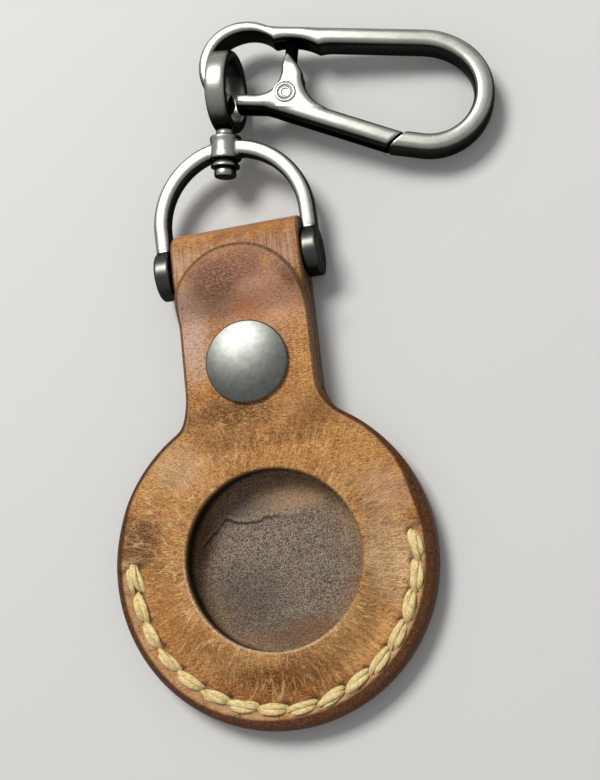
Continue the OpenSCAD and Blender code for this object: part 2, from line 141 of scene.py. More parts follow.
def fill_mesh(mesh, points, faces, sharp=None, marks=()):
    """Points and faces into a mesh, with one number or vector a point for each mark: doubles merged, faces outwards,
    smooth up to the angle sharp."""
    mesh.vertices.add(len(points))
    mesh.vertices.foreach_set("co", np.ascontiguousarray(points, np.float32).ravel())
    mesh.loops.add(faces.size)
    mesh.loops.foreach_set("vertex_index", faces.ravel().astype(np.int32))
    mesh.polygons.add(len(faces))
    mesh.polygons.foreach_set("loop_start", np.arange(0, faces.size, faces.shape[1], dtype=np.int32))
    mesh.update(calc_edges=True)
    for name in marks:
        values = np.asarray(marks[name], np.float32)
        kind, field = ("FLOAT_VECTOR", "vector") if values.ndim == 2 else ("FLOAT", "value")
        mesh.attributes.new(name, kind, "POINT").data.foreach_set(field, values.ravel())
    size = float(np.ptp(points))
    work = bmesh.new()
    work.from_mesh(mesh)
    bmesh.ops.remove_doubles(work, verts=work.verts, dist=1e-6 * size)
    bmesh.ops.dissolve_degenerate(work, edges=work.edges, dist=1e-7 * size)
    bmesh.ops.recalc_face_normals(work, faces=work.faces)
    work.to_mesh(mesh)
    work.free()
    mesh.polygons.foreach_set("use_smooth", np.ones(len(mesh.polygons), bool))
    if sharp:
        mesh.set_sharp_from_angle(angle=np.radians(sharp))


def linked(name, data):
    """A mesh, lamp or camera as a new object in the scene."""
    obj = bpy.data.objects.new(name, data)
    bpy.context.scene.collection.objects.link(obj)
    return obj


def piece(name, shell, finish, body, stands_for, sharp=None, marks=()):
    """A finished piece in metres: its mesh, material, material slot, body and the CAD nodes it stands for. The nodes
    get the same material."""
    mesh = bpy.data.meshes.new(name)
    fill_mesh(mesh, shell[0] * MM, shell[1], sharp, marks)
    mesh.materials.append(finish)
    obj = linked(name, mesh)
    if body:
        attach(obj, body)
    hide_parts(*stands_for)
    for node in stands_for:
        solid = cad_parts[node].data
        solid.materials.clear()
        solid.materials.append(finish)
    return obj


def blank(shell):
    """A shell as an object that modifiers work on."""
    mesh = bpy.data.meshes.new("blank")
    fill_mesh(mesh, *shell)
    return linked("blank", mesh)


def worked(corners, *blanks):
    """The first blank as its modifiers leave it: points, and faces with that many corners. The blanks are put
    away."""
    bpy.context.view_layer.update()
    done = blanks[0].evaluated_get(bpy.context.evaluated_depsgraph_get()).to_mesh()
    points = np.empty(len(done.vertices) * 3, np.float32)
    done.vertices.foreach_get("co", points)
    faces = np.empty(len(done.loops), np.int32)
    done.loops.foreach_get("vertex_index", faces)
    assert len(faces) == corners * len(done.polygons)
    blanks[0].to_mesh_clear()
    for obj in blanks:
        mesh = obj.data
        bpy.data.objects.remove(obj)
        bpy.data.meshes.remove(mesh)
    return points.reshape(-1, 3).astype(float), faces.reshape(-1, corners).astype(int)


def cast(shell, grain, rounds):
    """Shells that overlap become one cast skin: built anew on a grid of cells, then relaxed towards the middle of the
    neighbours."""
    obj = blank(shell)
    remesh = obj.modifiers.new("cells", "REMESH")
    remesh.mode = "VOXEL"
    remesh.voxel_size = grain
    relax = obj.modifiers.new("relax", "SMOOTH")
    relax.factor, relax.iterations = 0.5, rounds
    return worked(4, obj)


def carved(shell, *cutters):
    """A closed skin with the cutters taken away, in triangles."""
    body, *tools = [blank(s) for s in (shell,) + cutters]
    for tool in tools:
        cut = body.modifiers.new("cut", "BOOLEAN")
        cut.operation, cut.solver, cut.object = "DIFFERENCE", "EXACT", tool
    body.modifiers.new("three_sided", "TRIANGULATE")
    return worked(3, body, *tools)


def box_shell(low, high):
    """A plain box between two corners, as a cutter."""
    c = np.array([low, high], float)
    i = np.array([[0, 0, 0], [1, 0, 0], [1, 1, 0], [0, 1, 0], [0, 0, 1], [1, 0, 1], [1, 1, 1], [0, 1, 1]])
    f = np.array([[0, 3, 2, 1], [4, 5, 6, 7], [0, 1, 5, 4], [1, 2, 6, 5], [2, 3, 7, 6], [3, 0, 4, 7]])
    return np.stack([c[i[:, k], k] for k in range(3)], -1), f


def plug(radius, low, high, around, axis="z"):
    """A plain cylinder from one height to the other, as a cutter."""
    return revolve([(0, low), (radius, low), (radius, high), (0, high)], around, axis)


def moved(shell, matrix, offset):
    """A shell turned by a matrix and then moved."""
    return shell[0] @ matrix.T + offset, shell[1]


# ---------------------------------------------------------------- frames of the hardware
SHACKLE_TURN = turn("x", LIFT)
SHACKLE_AT = np.array([SHIFT, PIN_Y, PIN_Z])
SWIVEL_TURN = SHACKLE_TURN @ turn("z", -BARREL_YAW) @ turn("y", -EYE_ROLL)
SWIVEL_AT = SHACKLE_AT + SHACKLE_TURN @ np.array([0, BARREL_Y, 0]) - SWIVEL_TURN @ np.array([0, BARREL_Y, 0])
CAR_TURN = turn("z", -CAR_YAW) @ turn("y", CAR_TILT)


def line(x, y):
    """Points of a plane from their two rows of numbers."""
    return np.stack([x, y], -1)


def revolve(profile, around=72, axis="z", wrap=False):
    """A profile of (radius, height) pairs turned once round an axis: x = r cos a, y = r sin a, z = height. With wrap
    its last point joins its first, as on a ring."""
    r, h = np.array(profile, float).T
    a = np.linspace(0, 2 * np.pi, around, endpoint=False)
    h = np.broadcast_to(h[:, None], (len(r), around))
    ring = np.stack([r[:, None] * np.cos(a), r[:, None] * np.sin(a), h], -1)
    order = {"z": (0, 1, 2), "y": (1, 2, 0), "x": (2, 0, 1)}[axis]
    return skin(ring[..., order], wrap_rows=wrap)


def rounded(level, radius, towards, r):
    """Quarter circle of radius r that turns from a level to the outer radius, on the side of the other level, as
    (radius, height) pairs."""
    s = 1 if towards > level else -1
    return [(radius - r + r * np.sin(t), level + s * r * (1 - np.cos(t))) for t in np.linspace(0, np.pi / 2, 5)]


def button(radius, low, high, edge):
    """Profile of a flat round head with two rounded edges, from the axis at the bottom to the axis at the top."""
    return [(0, low)] + rounded(low, radius, high, edge) + rounded(high, radius, low, edge)[::-1] + [(0, high)]


def section(power, around):
    """Superellipse: |x| and |z| to the power add up to one; points as x and z between -1 and 1."""
    a = np.linspace(0, 2 * np.pi, around, endpoint=False)
    c, s = np.cos(a), np.sin(a)
    return np.sign(c) * np.abs(c) ** (2 / power), np.sign(s) * np.abs(s) ** (2 / power)


def bar_between(outer, inner, half_height, power, around=40, tip=0.0):
    """A bar between two edge lines in one plane: at each station a superellipse spans from the inner to the outer
    point, half_height above and below; tip rounds both ends by drawing the last sections in."""
    sx, sz = section(power, around)
    mid, half = (outer + inner) / 2, (outer - inner) / 2
    half_height = np.broadcast_to(half_height, len(outer))
    flat = mid[:, None] + half[:, None] * sx[None, :, None]
    up = half_height[:, None] * sz[None, :]
    rings = np.concatenate([flat, up[..., None]], -1)
    if tip:
        for end, step in ((0, 1), (-1, -1)):
            centre = rings[end].mean(0)
            out = centre - rings[end + step].mean(0)
            out = out / np.linalg.norm(out)
            t = np.radians([25, 50, 70])[:, None, None]
            extra = centre + (rings[end] - centre) * np.cos(t) + out * tip * np.sin(t)
            rings = np.concatenate([extra[::-1], rings] if end == 0 else [rings, extra])
    return skin(closed(rings))


# ---------------------------------------------------------------- front leather
def half_outline(inset, top=True):
    """Right half of the holder's outline from the bottom of the disc up, moved inwards by inset (one row per value):
    the disc's arc, the hollow's arc, the straight side and, for the front, a quarter of the tab's round end."""
    touch = np.arctan2(HOLLOW_Y, HOLLOW_X)
    disc = np.linspace(-np.pi / 2, touch, 210)[:-1]
    hollow = np.linspace(touch + np.pi, np.pi, 16)[:-1]
    side = np.linspace(HOLLOW_Y, TAB_MID, 22)[:-1] if top else np.linspace(HOLLOW_Y, FOLD_Y, 34)
    tab = np.linspace(0, np.pi / 2, 32) if top else np.zeros(0)
    part = np.repeat([0, 1, 2, 3], [len(disc), len(hollow), len(side), len(tab)])
    value = np.concatenate([disc, hollow, side, tab])
    inset = np.atleast_2d(inset)
    x = np.select(
        [part == 0, part == 1, part == 2],
        [
            (DISC_R - inset) * np.cos(value),
            HOLLOW_X + (HOLLOW_R + inset) * np.cos(value),
            HALF_STRAP - inset + 0 * value,
        ],
        (HALF_STRAP - inset) * np.cos(value),
    )
    y = np.select(
        [part == 0, part == 1, part == 2],
        [(DISC_R - inset) * np.sin(value), HOLLOW_Y + (HOLLOW_R + inset) * np.sin(value), value + 0 * inset],
        TAB_MID + (HALF_STRAP - inset) * np.sin(value),
    )
    return np.where(np.abs(x) < 1e-9, 0, x), y


def front_underside(x, y):
    """Height of the front leather's underside: flat at the stitches, up to the window in a smooth step of the
    distance from the disc's centre, up onto the strap's end along the neck, and up again over the fold."""
    r = np.hypot(x, y)
    dome = DOME_RISE * ease((DOME_FOOT - r) / (DOME_FOOT - DOME_RIM))
    neck = (NECK_Z - FRONT_Z) * ease((y - 11.0 - 7.0 * (x / 11.0) ** 2) / 8.5)
    tab = (TAB_Z - NECK_Z) * ease((y - SNAP_Y - 6.35) / 5.85)
    slack = 0.10 * np.sin(x / 3.1 + 0.6) * np.sin(y / 4.3 + 1.1) * ease((19.0 - r) / 4)
    return FRONT_Z + smooth_max(dome, neck, 0.25) - 0.03 + tab + slack


def stitch_places():
    """Angles of the stitch holes round the disc's centre, from the left side under the window to the right."""
    return np.radians(-90 - STITCH_HALF + np.arange(STITCHES + 1) * 2 * STITCH_HALF / STITCHES)


def past_hole(a):
    """Length along the line of stitches from the nearest hole, at an angle in degrees."""
    phase = (a + STITCH_HALF) / STITCH_STEP
    return (phase - np.round(phase)) * STITCH_STEP / DEGREES_PER_RADIAN * STITCH_R


def stitch_press(r, a):
    """How deep the tight thread presses into the leather: a channel along the stitches, deeper at each hole."""
    run = ease((STITCH_HALF + 2.2 - np.abs(a)) / 2.0)
    channel, hole = bump_at(r - STITCH_R, 1.15), bump_at(past_hole(a), 0.75) * bump_at(r - STITCH_R, 0.8)
    return run * (0.22 * channel + 0.42 * hole)


def mirrored(half, sign=1):
    """Rows that run up the right side, carried on down the left side."""
    return np.concatenate([half, sign * half[:, -2:0:-1]], 1)


TOP, ROUND_EDGE, CUT_EDGE, UNDER, CUT_RIM, ROUND_RIM = range(6)


def front_leather():
    """Front of the pouch with neck and tab in one skin. Seen from above, a point lies on the line from the window's
    rim to the outline at the share mix; the skin runs over the top, round the burnished edge, back underneath and up
    the window's cut wall. Its height is that of the underside plus a height through the leather."""
    q = np.linspace(0, 1, 7)[1:-1] * np.pi / 2
    even, back = np.linspace(0, 1, 62), np.linspace(1, 0, 22)
    wall = np.array([0.0, -0.5, -1.0])
    one, zero = np.ones, np.zeros
    runs = [
        (0.5 * (even + ease(even)), one(62), one(62), one(62)),
        (one(5), 1 - np.sin(q), zero(5), np.cos(q)),
        (one(3), zero(3), zero(3), wall),
        (back, zero(22) + 0.18, zero(22) + 0.2, zero(22) - 2),
        (zero(3), zero(3), zero(3), wall[::-1]),
        (zero(5), zero(5), 1 - np.cos(q), np.sin(q)),
    ]
    mix, inset, rim, level = (np.concatenate([r[k] for r in runs])[:, None] for k in range(4))
    run = np.concatenate([np.repeat(n, len(r[0])) for n, r in enumerate(runs)])[:, None]
    x0, y0 = half_outline(np.zeros((1, 1)))
    edge = 0.42 + 0.48 * ease((13 - y0) / 7)
    ox, oy = half_outline(np.where(run == UNDER, inset, inset * edge))
    ox, oy, x0, y0, edge = mirrored(ox, -1), mirrored(oy), mirrored(x0, -1), mirrored(y0), mirrored(edge)
    away = np.stack([x0 - WINDOW[0], y0 - WINDOW[1]])
    away = away / np.hypot(*away)
    uneven = 0.06 * np.sin(3 * np.arctan2(away[1], away[0]) + 0.5)
    rim_mm = WINDOW_R + np.where(run == UNDER, rim, rim * RIM_EDGE) + uneven
    rx, ry = WINDOW[0] + rim_mm * away[0], WINDOW[1] + rim_mm * away[1]
    x, y = rx + mix * (ox - rx), ry + mix * (oy - ry)
    at_outline = (run == ROUND_EDGE) | (run == CUT_EDGE)
    corner = np.where(at_outline, edge, RIM_EDGE)
    wall_height = (LEATHER - corner) * (1 + level) + 0.12 * -level
    height = np.select(
        [run == TOP, run == UNDER],
        [LEATHER + 0 * x, 0 * x],
        np.where(level >= 0, LEATHER - corner * (1 - level), wall_height),
    )
    height = height + SOCKET_HOLLOW * (run == UNDER) * ease((SOCKET_HOLLOW_R - np.hypot(x, y - SNAP_Y)) / 0.3)
    top = ease(height - 0.8) * (run != UNDER)
    r, a = np.hypot(x, y), np.degrees(np.arctan2(x, -y))
    z = front_underside(x, y) + height - top * stitch_press(r, a)
    z += top * 0.10 * ease((r - 21.9) / 0.7) * bump_at(r - 22.9, 1.1) * ease((14 - y) / 4)
    pit_at = np.hypot(x - 22.0, (y - 2.5) * 0.7)
    z -= top * 0.55 * bump_at(pit_at, 0.75)
    fold = y - 0.10 * (x + 21.4)
    z += top * (0.40 * bump_at(fold - 1.75, 0.55) - 0.50 * bump_at(fold - 0.75, 0.50)) * bump_at(x + 21.5, 1.7)
    angle = np.arctan2(y - WINDOW[1], x - WINDOW[0])
    dist = np.hypot(x - WINDOW[0], y - WINDOW[1])
    to_edge = np.hypot(ox - x, oy - y)
    worn = 0.22 + 0.75 * ease((np.cos(np.arctan2(y, x) + 0.45) + 0.35) / 1.1) * ease((20 - y) / 15)
    at_hole = bump_at(past_hole(a), 0.55) * bump_at(r - STITCH_R + 0.75, 0.5)
    edge_cut = np.where(at_outline, ease((LEATHER - height) / 0.25), 0.0)
    marks = {
        "cut": edge_cut + np.where((run == CUT_RIM) | (run == ROUND_RIM), 1.0 - top * 0.6, 0.0),
        "burnish": np.where(run == TOP, ease((worn + 0.25 - to_edge) / 0.5), np.where(run <= CUT_EDGE, 1.0, 0.0)),
        "pit": top * at_hole * (np.abs(a) < STITCH_HALF + 1.5),
        # This mark places a painted highlight along the window's rim.
        "rim_highlight": np.where((run == TOP) | (run == ROUND_RIM), bump_at(dist - WINDOW_R - 0.25, 0.15), 0.0),
        # This mark places a painted highlight along the tab's edge.
        "lip_highlight": np.where(run == TOP, bump_at(to_edge - 0.34, 0.14), 0.0) * ease((y - 14) / 4),
        "rub": top * bump_at(r - 21.9, 1.5) * ease((STITCH_HALF + 4 - np.abs(a)) / 4),
        "ray": np.stack([np.cos(angle), np.sin(angle), dist / WINDOW_R], -1),
        "fan": np.stack([angle, np.arctan2(WINDOW[1] - y, WINDOW[0] - x), dist / WINDOW_R], -1),
    }
    return np.stack([x, y, z], -1), {k: v.reshape(-1, 3) if v.ndim == 3 else v.ravel() for k, v in marks.items()}


# ---------------------------------------------------------------- back leather
def strap_path(n_fold=30, n_return=40):
    """Side view of the strap past the disc: inner face and outward direction along the fold round the pin (an arc)
    and along the return layer, which comes down in a smooth step and lies on the strap."""
    a = np.linspace(-np.pi / 2, np.pi / 2, n_fold)
    fold = np.stack([FOLD_Y + FOLD_IN * np.cos(a), PIN_Z + FOLD_IN * np.sin(a)], -1)
    out_fold = np.stack([np.cos(a), np.sin(a)], -1)
    y = np.linspace(FOLD_Y, RETURN_END, n_return)[1:]
    drop = PIN_Z + FOLD_IN - (PIN_Z + FOLD_IN - LEATHER) * ease((PIN_Y - 1.6 - y) / 7.2)
    back = np.stack([y, drop], -1)
    d = np.gradient(back, axis=0)
    d /= np.linalg.norm(d, axis=1, keepdims=True)
    out_back = np.stack([d[:, 1], -d[:, 0]], -1)
    return np.concatenate([fold, back]), np.concatenate([out_fold, out_back])


FACE, TOP_RIGHT, LOW_RIGHT, BACK, LOW_LEFT, TOP_LEFT = range(6)


def back_leather():
    """Back of the pouch and the strap as one ribbon: at each station along its length a closed section runs across
    the top, round the right edge, back across the underside and round the left edge. Along the disc the stations
    follow the outline moved inwards, then the strap bends round the pin and comes back."""
    n = 58
    t, flat = np.linspace(-1, 1, n), np.zeros(n)
    q = np.linspace(0, np.pi / 2, 6)[1:]
    share = np.concatenate([t, np.ones(9), -t, -np.ones(9)])[:, None]
    part = np.repeat([FACE, TOP_RIGHT, LOW_RIGHT, BACK, LOW_LEFT, TOP_LEFT], [n, 5, 4, n, 4, 5])[:, None]
    sweep = np.concatenate([flat, q, q[::-1][1:], flat, q[:-1], q[::-1]])[:, None]
    in_strap = ease((half_outline(np.zeros((1, 1)), top=False)[1] - 14) / 9)
    top_r, low_r = 0.12 + 0.28 * in_strap, 0.9 - 0.45 * in_strap
    parts = [part == FACE, (part == TOP_RIGHT) | (part == TOP_LEFT), part == BACK]
    narrow, drop = 1 - np.sin(sweep), 1 - np.cos(sweep)
    inset = np.select(parts, [top_r + 0 * part, top_r * narrow, low_r + 0 * part], low_r * narrow)
    depth = np.select(parts, [0 * inset, top_r * drop, LEATHER + 0 * inset], LEATHER - low_r * drop)
    x, y = half_outline(inset, top=False)
    path, out = strap_path()

    def carried_on(values, along=None):
        """Numbers along the disc, then those along the fold and the return, or else the last one again."""
        if along is None:
            return np.concatenate([values, np.repeat(values[:, -1:], len(path) - 1, 1)], 1)
        return np.concatenate([values, np.repeat(along[None, 1:], len(part), 0)], 1)

    level = np.zeros(y.shape)
    on_disc = carried_on(level + 1, 0 * path[:, 0])
    x, depth = carried_on(share * x), carried_on(depth)
    y, z = carried_on(y, path[:, 0]), carried_on(level + LEATHER, path[:, 1])
    ny, nz = carried_on(level, out[:, 0]), carried_on(level - 1, out[:, 1])
    r, a = np.hypot(x, y), np.degrees(np.arctan2(x, -y))
    groove = ease((STITCH_HALF + 3.0 - np.abs(a)) / 1.5) * ease((1.15 - np.abs(r - STITCH_R)) / 0.45) * on_disc
    depth = depth - BACK_GROOVE * groove * (part == BACK)
    in_window = ease((WINDOW_R - 1.5 - np.hypot(x - WINDOW[0], y)) / 3)
    sag = 0.05 * np.sin(x / 2.7 + 1.0) * np.sin(y / 3.9) * in_window * (part == FACE)
    x, y, z, ny, nz, depth, sag = (np.concatenate([v, v[:, -1:]], 1) for v in (x, y, z, ny, nz, depth, sag))
    depth[:, -1] = LEATHER / 2
    marks = {"cut": (part != FACE) & (part != BACK) & (x == x), "flesh": (part == FACE) & (x == x)}
    return np.stack([x, y + depth * ny, z + depth * nz + sag], -1), {name: v.ravel() for name, v in marks.items()}


# ---------------------------------------------------------------- thread
def plies(a, b, width, height, lift, dip, rise, twist, phase, count=3, rows=30, around=16):
    """One stitch from the hole a to the hole b as loosely laid plies. The stitch's middle line rises by a sine arch
    between two dips into the leather. Each ply is a tube on a flat helix about that line: at the share s it is off by
    the ply radius times cos and sin of its own angle plus twist times s, and all of it narrows at both ends by a root
    of the sine."""
    s = np.linspace(0.0, 1.0, rows)[:, None]
    phi = np.linspace(0, 2 * np.pi, around, endpoint=False)[None, :]
    along = b - a
    length = np.hypot(*along)
    along = along / length
    across = np.array([-along[1], along[0]])
    swell = np.clip(np.sin(np.pi * (0.035 + 0.93 * s)), 0, 1) ** 0.5
    shells, threads = [], []
    for k in range(count):
        turn_at = phase + 2 * np.pi * k / count + twist * s
        off = 0.27 * swell
        thick = 0.245 * swell * (1 + 0.10 * np.sin(5 * s + 2.1 * k + phase))
        u = width * (off * np.cos(turn_at) + thick * np.cos(phi))
        v = height * (0.8 * off * np.sin(turn_at) + 1.15 * thick * np.sin(phi))
        base = s * length + 0.16 * width * np.cos(turn_at) * (2 * s - 1)
        z = lift - dip * np.abs(2 * s - 1) ** 5 + rise * np.sin(np.pi * s) + v
        flat = a + along * base[..., None] + across * u[..., None]
        shells.append(skin(closed(np.concatenate([flat, z[..., None]], -1))))
        spun = phi + 2.4 * s
        laid = np.stack([base * 0.55 + 0 * phi, np.cos(spun), np.sin(spun) + 3.0 * k + 7.3 * phase], -1)
        threads.append(closed(laid).reshape(-1, 3))
    return shells, threads


def thread():
    """The waxed thread: sixteen stitches on the front that each lean inwards against the line, a doubled start at the
    left, and as many flat stitches in the channel on the back."""
    holes = stitch_places()
    shells, laid = [], []

    def add(made):
        shells.extend(made[0])
        laid.extend(made[1])

    for i in range(STITCHES):
        a0, a1 = holes[i], holes[i + 1]
        lean = np.radians(7.5 + rng.uniform(-2.5, 2.5))
        mid = (a0 + a1) / 2
        half = STITCH_R * np.sin((a1 - a0) / 2) * (1.12 + rng.uniform(-0.03, 0.03))
        centre = (STITCH_R + rng.uniform(-0.08, 0.08)) * np.array([np.cos(mid), np.sin(mid)])
        along = np.array([-np.sin(mid + lean), np.cos(mid + lean)])
        top = FRONT_Z + LEATHER - 0.10
        if i == 0:
            side = np.array([np.cos(mid), np.sin(mid)])
            for off, bend, ph in ((0.72, 0.20, 0.3), (-0.72, -0.16, 1.7)):
                tilt = along + side * bend
                tilt = tilt / np.hypot(*tilt)
                start = centre + off * side - tilt * half * 1.02
                end = centre + off * side * 0.45 + tilt * half * 0.95
                add(plies(start, end, width=1.75, height=1.2, lift=top, dip=0.75, rise=0.40, twist=1.2, phase=ph,
                          count=2))
        else:
            start, end = centre - along * half, centre + along * half
            wide = 1.95 + rng.uniform(-0.14, 0.12)
            rise = 0.34 + rng.uniform(-0.05, 0.05)
            twist = 1.3 + rng.uniform(-0.6, 0.6)
            ph = rng.uniform(0, 6)
            add(plies(start, end, width=wide, height=1.0, lift=top, dip=0.78, rise=rise, twist=twist, phase=ph))
        flat = np.array([-np.sin(mid), np.cos(mid)]) * half * 0.95
        add(plies(centre - flat, centre + flat, width=1.5, height=0.62, lift=0.50, dip=-0.35, rise=-0.04, twist=-2.8,
                  phase=rng.uniform(0, 6), rows=18, around=12))
    return together(*shells), {"laid": np.concatenate(laid)}


# ---------------------------------------------------------------- hardware
CELL, FINE_CELL = 0.13, 0.125  # cells of the grid that a casting is built anew on
HALF_BAR, HALF_BAR_HEIGHT = 1.55, 2.4
ARM_FALL = np.radians(16)
BOW_R, PIN_HALF, PIN_BORE, SHAFT_BORE = 11.5, 12.75, 1.66, 1.33
TONGUE_R, HALF_TONGUE, SLOT_HALF_HEIGHT = 2.3, 0.95, 0.86
WIRE_R, SPRING_R = 0.3, 2.8
RIVET_HEAD_R, RIVET_R, RIVET_SINK = 1.7, 1.22, 1.78


def snap_cap_profile():
    """Low dome over a thin rolled rim, then the stem: (radius, height) pairs from the axis over the dome, whose
    height falls with the power 2.2 of the radius, down the rim and back to the axis below the leather's top."""
    rise, radius, base = 0.72, 6.25, NECK_Z + LEATHER + 0.05
    r = radius * 0.965 * np.sin(np.linspace(0, np.pi / 2, 30))
    dome = [(x, base + 0.64 + rise * (1 - (x / radius) ** 2.2)) for x in r]
    t = np.linspace(np.radians(60), np.radians(-90), 9)
    rim = [(radius - 0.24 + 0.24 * np.cos(a), base + 0.42 + 0.26 * np.sin(a)) for a in t]
    return dome + rim + [(5.6, base + 0.02), (1.25, base + 0.02), (1.25, 5.2), (0, 5.2)]


def shackle_casting():
    """Bow, ears and barrel as one casting: a rounded bar along two straights and a half circle, a short thick disc
    across each end, and a barrel with two soft rims at the top of the bow."""
    bow_r, bow_y, w, t = BOW_R, 6.7, 2.5, 3.0
    a = np.linspace(0, np.pi, 90)
    arc = np.stack([np.cos(a), np.sin(a)], -1)
    foot = np.linspace(-0.4, bow_y, 14)[:-1]
    right_o, right_i = line(foot * 0 + bow_r + w / 2, foot), line(foot * 0 + bow_r - w / 2, foot)
    flip = np.array([-1.0, 1.0])
    outer = np.concatenate([right_o, arc * (bow_r + w / 2) + [0, bow_y], right_o[::-1] * flip])
    inner = np.concatenate([right_i, arc * (bow_r - w / 2) + [0, bow_y], right_i[::-1] * flip])
    shells = [bar_between(outer, inner, t / 2, 3.6)]
    for side in (-1, 1):
        ear, faces = revolve(button(3.8, bow_r - w / 2, bow_r + w / 2, 0.42), 80, "x")
        shells.append((ear * (side, 1, 1), faces))
    low, high = 16.5, 20.25
    waist = [(2.36, 17.6), (2.36, 19.1)]
    barrel = [(0, low)] + rounded(low, 2.5, high, 0.35) + waist + rounded(high, 2.5, low, 0.35)[::-1] + [(0, high)]
    askew = turn("z", -BARREL_YAW) @ turn("y", -EYE_ROLL)
    at = np.array([0, BARREL_Y, 0]) - askew @ np.array([0, BARREL_Y, 0])
    whole = cast(together(*shells, moved(revolve(barrel, 72, "y"), askew, at)), CELL, 5)
    bore = moved(plug(SHAFT_BORE, 16, 21, 48, "y"), askew, at)
    return moved(carved(whole, plug(PIN_BORE, -14, 14, 64, "x"), bore), SHACKLE_TURN, SHACKLE_AT)


def pin_shape():
    """Flush screw pin: a round bar with a soft edge at both ends and a slot carved across one of them."""
    out = PIN_HALF
    r = np.array([0, 0.5, 1.0, 1.38, 1.52, 1.58])
    end = out - np.array([0, 0, 0, 0.0, 0.04, 0.16])
    profile = [(0, -out)] + list(zip(r[1:], -end[1:])) + list(zip(r[::-1], end[::-1]))
    slot = moved(box_shell((out - 0.7, -2.0, -0.36), (out + 1.0, 2.0, 0.36)), turn("x", 0.6), 0)
    return moved(carved(revolve(profile, 96, "x"), slot), SHACKLE_TURN, SHACKLE_AT)


def swivel_casting():
    """Ring with a flat band and rounded edges, flowing into a neck over the barrel; shaft through the barrel and its
    upset end inside the bow."""
    eye_r, wall, width, eye_y = 6.4, 1.75, 3.3, 27.35
    sx, sz = section(3.4, 36)
    a = np.linspace(0, 2 * np.pi, 120, endpoint=False)[:, None]
    far = eye_r - wall / 2 + wall / 2 * sx
    ring = np.stack([0 * a + width / 2 * sz, eye_y + far * np.cos(a), far * np.sin(a)], -1)
    neck = [(0, 20.3), (1.45, 20.3), (1.58, 20.42), (1.55, 21.1), (1.5, 21.8), (1.4, 22.4), (0, 22.5)]
    head = cast(together(skin(ring, wrap_rows=True), revolve(neck, 48, "y")), CELL, 6)
    upset = [(0, 13.8), (1.3, 13.8), (1.65, 13.95), (1.75, 14.3), (1.72, 14.8), (1.5, 15.15)]
    shaft = revolve(upset + [(1.25, 15.25), (1.25, 20.6), (0, 20.6)], 48, "y")
    return moved(together(head, shaft), SWIVEL_TURN, SWIVEL_AT)


def collar_shape():
    """Flared ring on the shaft: a cone over a short cylinder, hollow for the shaft."""
    bore = 1.3
    profile = [
        (bore, 15.25), (2.05, 15.27), (2.24, 15.36), (2.28, 15.5), (2.24, 15.68), (1.72, 16.38), (1.6, 16.44),
        (bore, 16.45),
    ]
    return moved(revolve(profile, 72, "y", wrap=True), SWIVEL_TURN, SWIVEL_AT)


def frame_lines():
    """Edge lines of the carabiner's frame in its own plane, station by station from the small eye's tip: the eye's
    outer and inner circles, the underside with its two hollows, the straight spine, the shoulder (radius 11) that
    tightens into the loop's end (radius 8), and the nose, whose last stations lean over to the slanted joint."""
    hook, hook_r, hole, hole_r = np.array([-7, 4.6]), 7.25, np.array([-6.3, 4.46]), 5.35
    spine_top, spine_low, scallop_r = 11.12, 8.08, 8.85
    a = np.radians(np.linspace(254, 92, 74))
    u = line(np.cos(a), np.sin(a))
    d = hook - hole
    r_in = -(u @ d) + np.sqrt((u @ d) ** 2 - d @ d + hole_r**2)
    r_in = smooth_max(r_in, 4.95, 0.1)
    outer, inner = [hook + hook_r * u], [hook + r_in[:, None] * u]
    x = np.concatenate([np.linspace(-7.2, 5.5, 110), np.linspace(5.7, 20.2, 30)])
    circle = hook[1] + np.sqrt(np.clip(hook_r**2 - (x - hook[0]) ** 2, 0, None))
    top = smooth_max(np.where(x < 0.25, circle, 0), spine_top, 0.22)
    hole_top = hole[1] + np.sqrt(np.clip(hole_r**2 - (x - hole[0]) ** 2, 0, None))
    scallop = np.sqrt(np.clip(scallop_r**2 - x**2, 0, None))
    spine = spine_low - 0.33 * bump_at(x - 4.1, 1.1)
    under = np.maximum(np.where(np.abs(x) < 8.8, scallop, 0), spine)
    under = np.maximum(np.where(np.abs(x - hole[0]) < hole_r, hole_top, 0), under)
    outer.append(line(x, top))
    inner.append(line(x, under))
    for centre, r, start, stop, n in (((20.2, -1.4), 11.0, 90, 50, 26), ((22.1, 0.9), 8.0, 50, -94, 84)):
        t = np.radians(np.linspace(start, stop, n + 1)[1:])
        v = line(np.cos(t), np.sin(t))
        outer.append(np.array(centre) + (r + HALF_BAR) * v)
        inner.append(np.array(centre) + (r - HALF_BAR) * v)
    s = np.linspace(0, 1, 14)[1:, None]
    o0, i0 = outer[-1][-1], inner[-1][-1]
    outer.append(o0 + s * (np.array([16.35, -8.16]) - o0))
    inner.append(i0 + s * (np.array([19.15, -5.3]) - i0))
    return np.concatenate(outer), np.concatenate(inner)


def frame_casting():
    """The carabiner's frame: the bar between its two edge lines, and the thin tongue that the gate turns on."""
    outer, inner = frame_lines()
    wide = np.hypot(*(outer - inner).T)
    half = HALF_BAR_HEIGHT - 0.25 * ease((2.6 - wide) / 1.2)
    bar = bar_between(outer, inner, half, 3.3, 44, tip=0.22)
    y = np.linspace(-TONGUE_R, 9.2, 60)
    disc = np.sqrt(np.clip(TONGUE_R**2 - y**2, np.where(y < 0, 0.02, 0), None))
    half = np.where(y < 0, disc, np.maximum(HALF_TONGUE, disc))
    tongue = bar_between(line(half, y), line(-half, y), 0.8, 6.0)
    body = cast(together(bar, tongue), FINE_CELL, 5)
    x, y, z = body[0].T
    # Painted shade: a near-black mark on the tongue where it lies sunk between the gate's plates.
    recess_shade = ease((2.9 - np.abs(x)) / 0.3) * ease((9.6 - y) / 0.6) * ease((1.25 - np.abs(z)) / 0.2)
    return moved(body, CAR_TURN, RIVET), {"recess_shade": recess_shade}


def gate_line(x):
    """Height of the long arm's middle line: a straight line that falls by 16 degrees towards the nose."""
    return -6.83 + (17.6 - x) * np.tan(ARM_FALL)


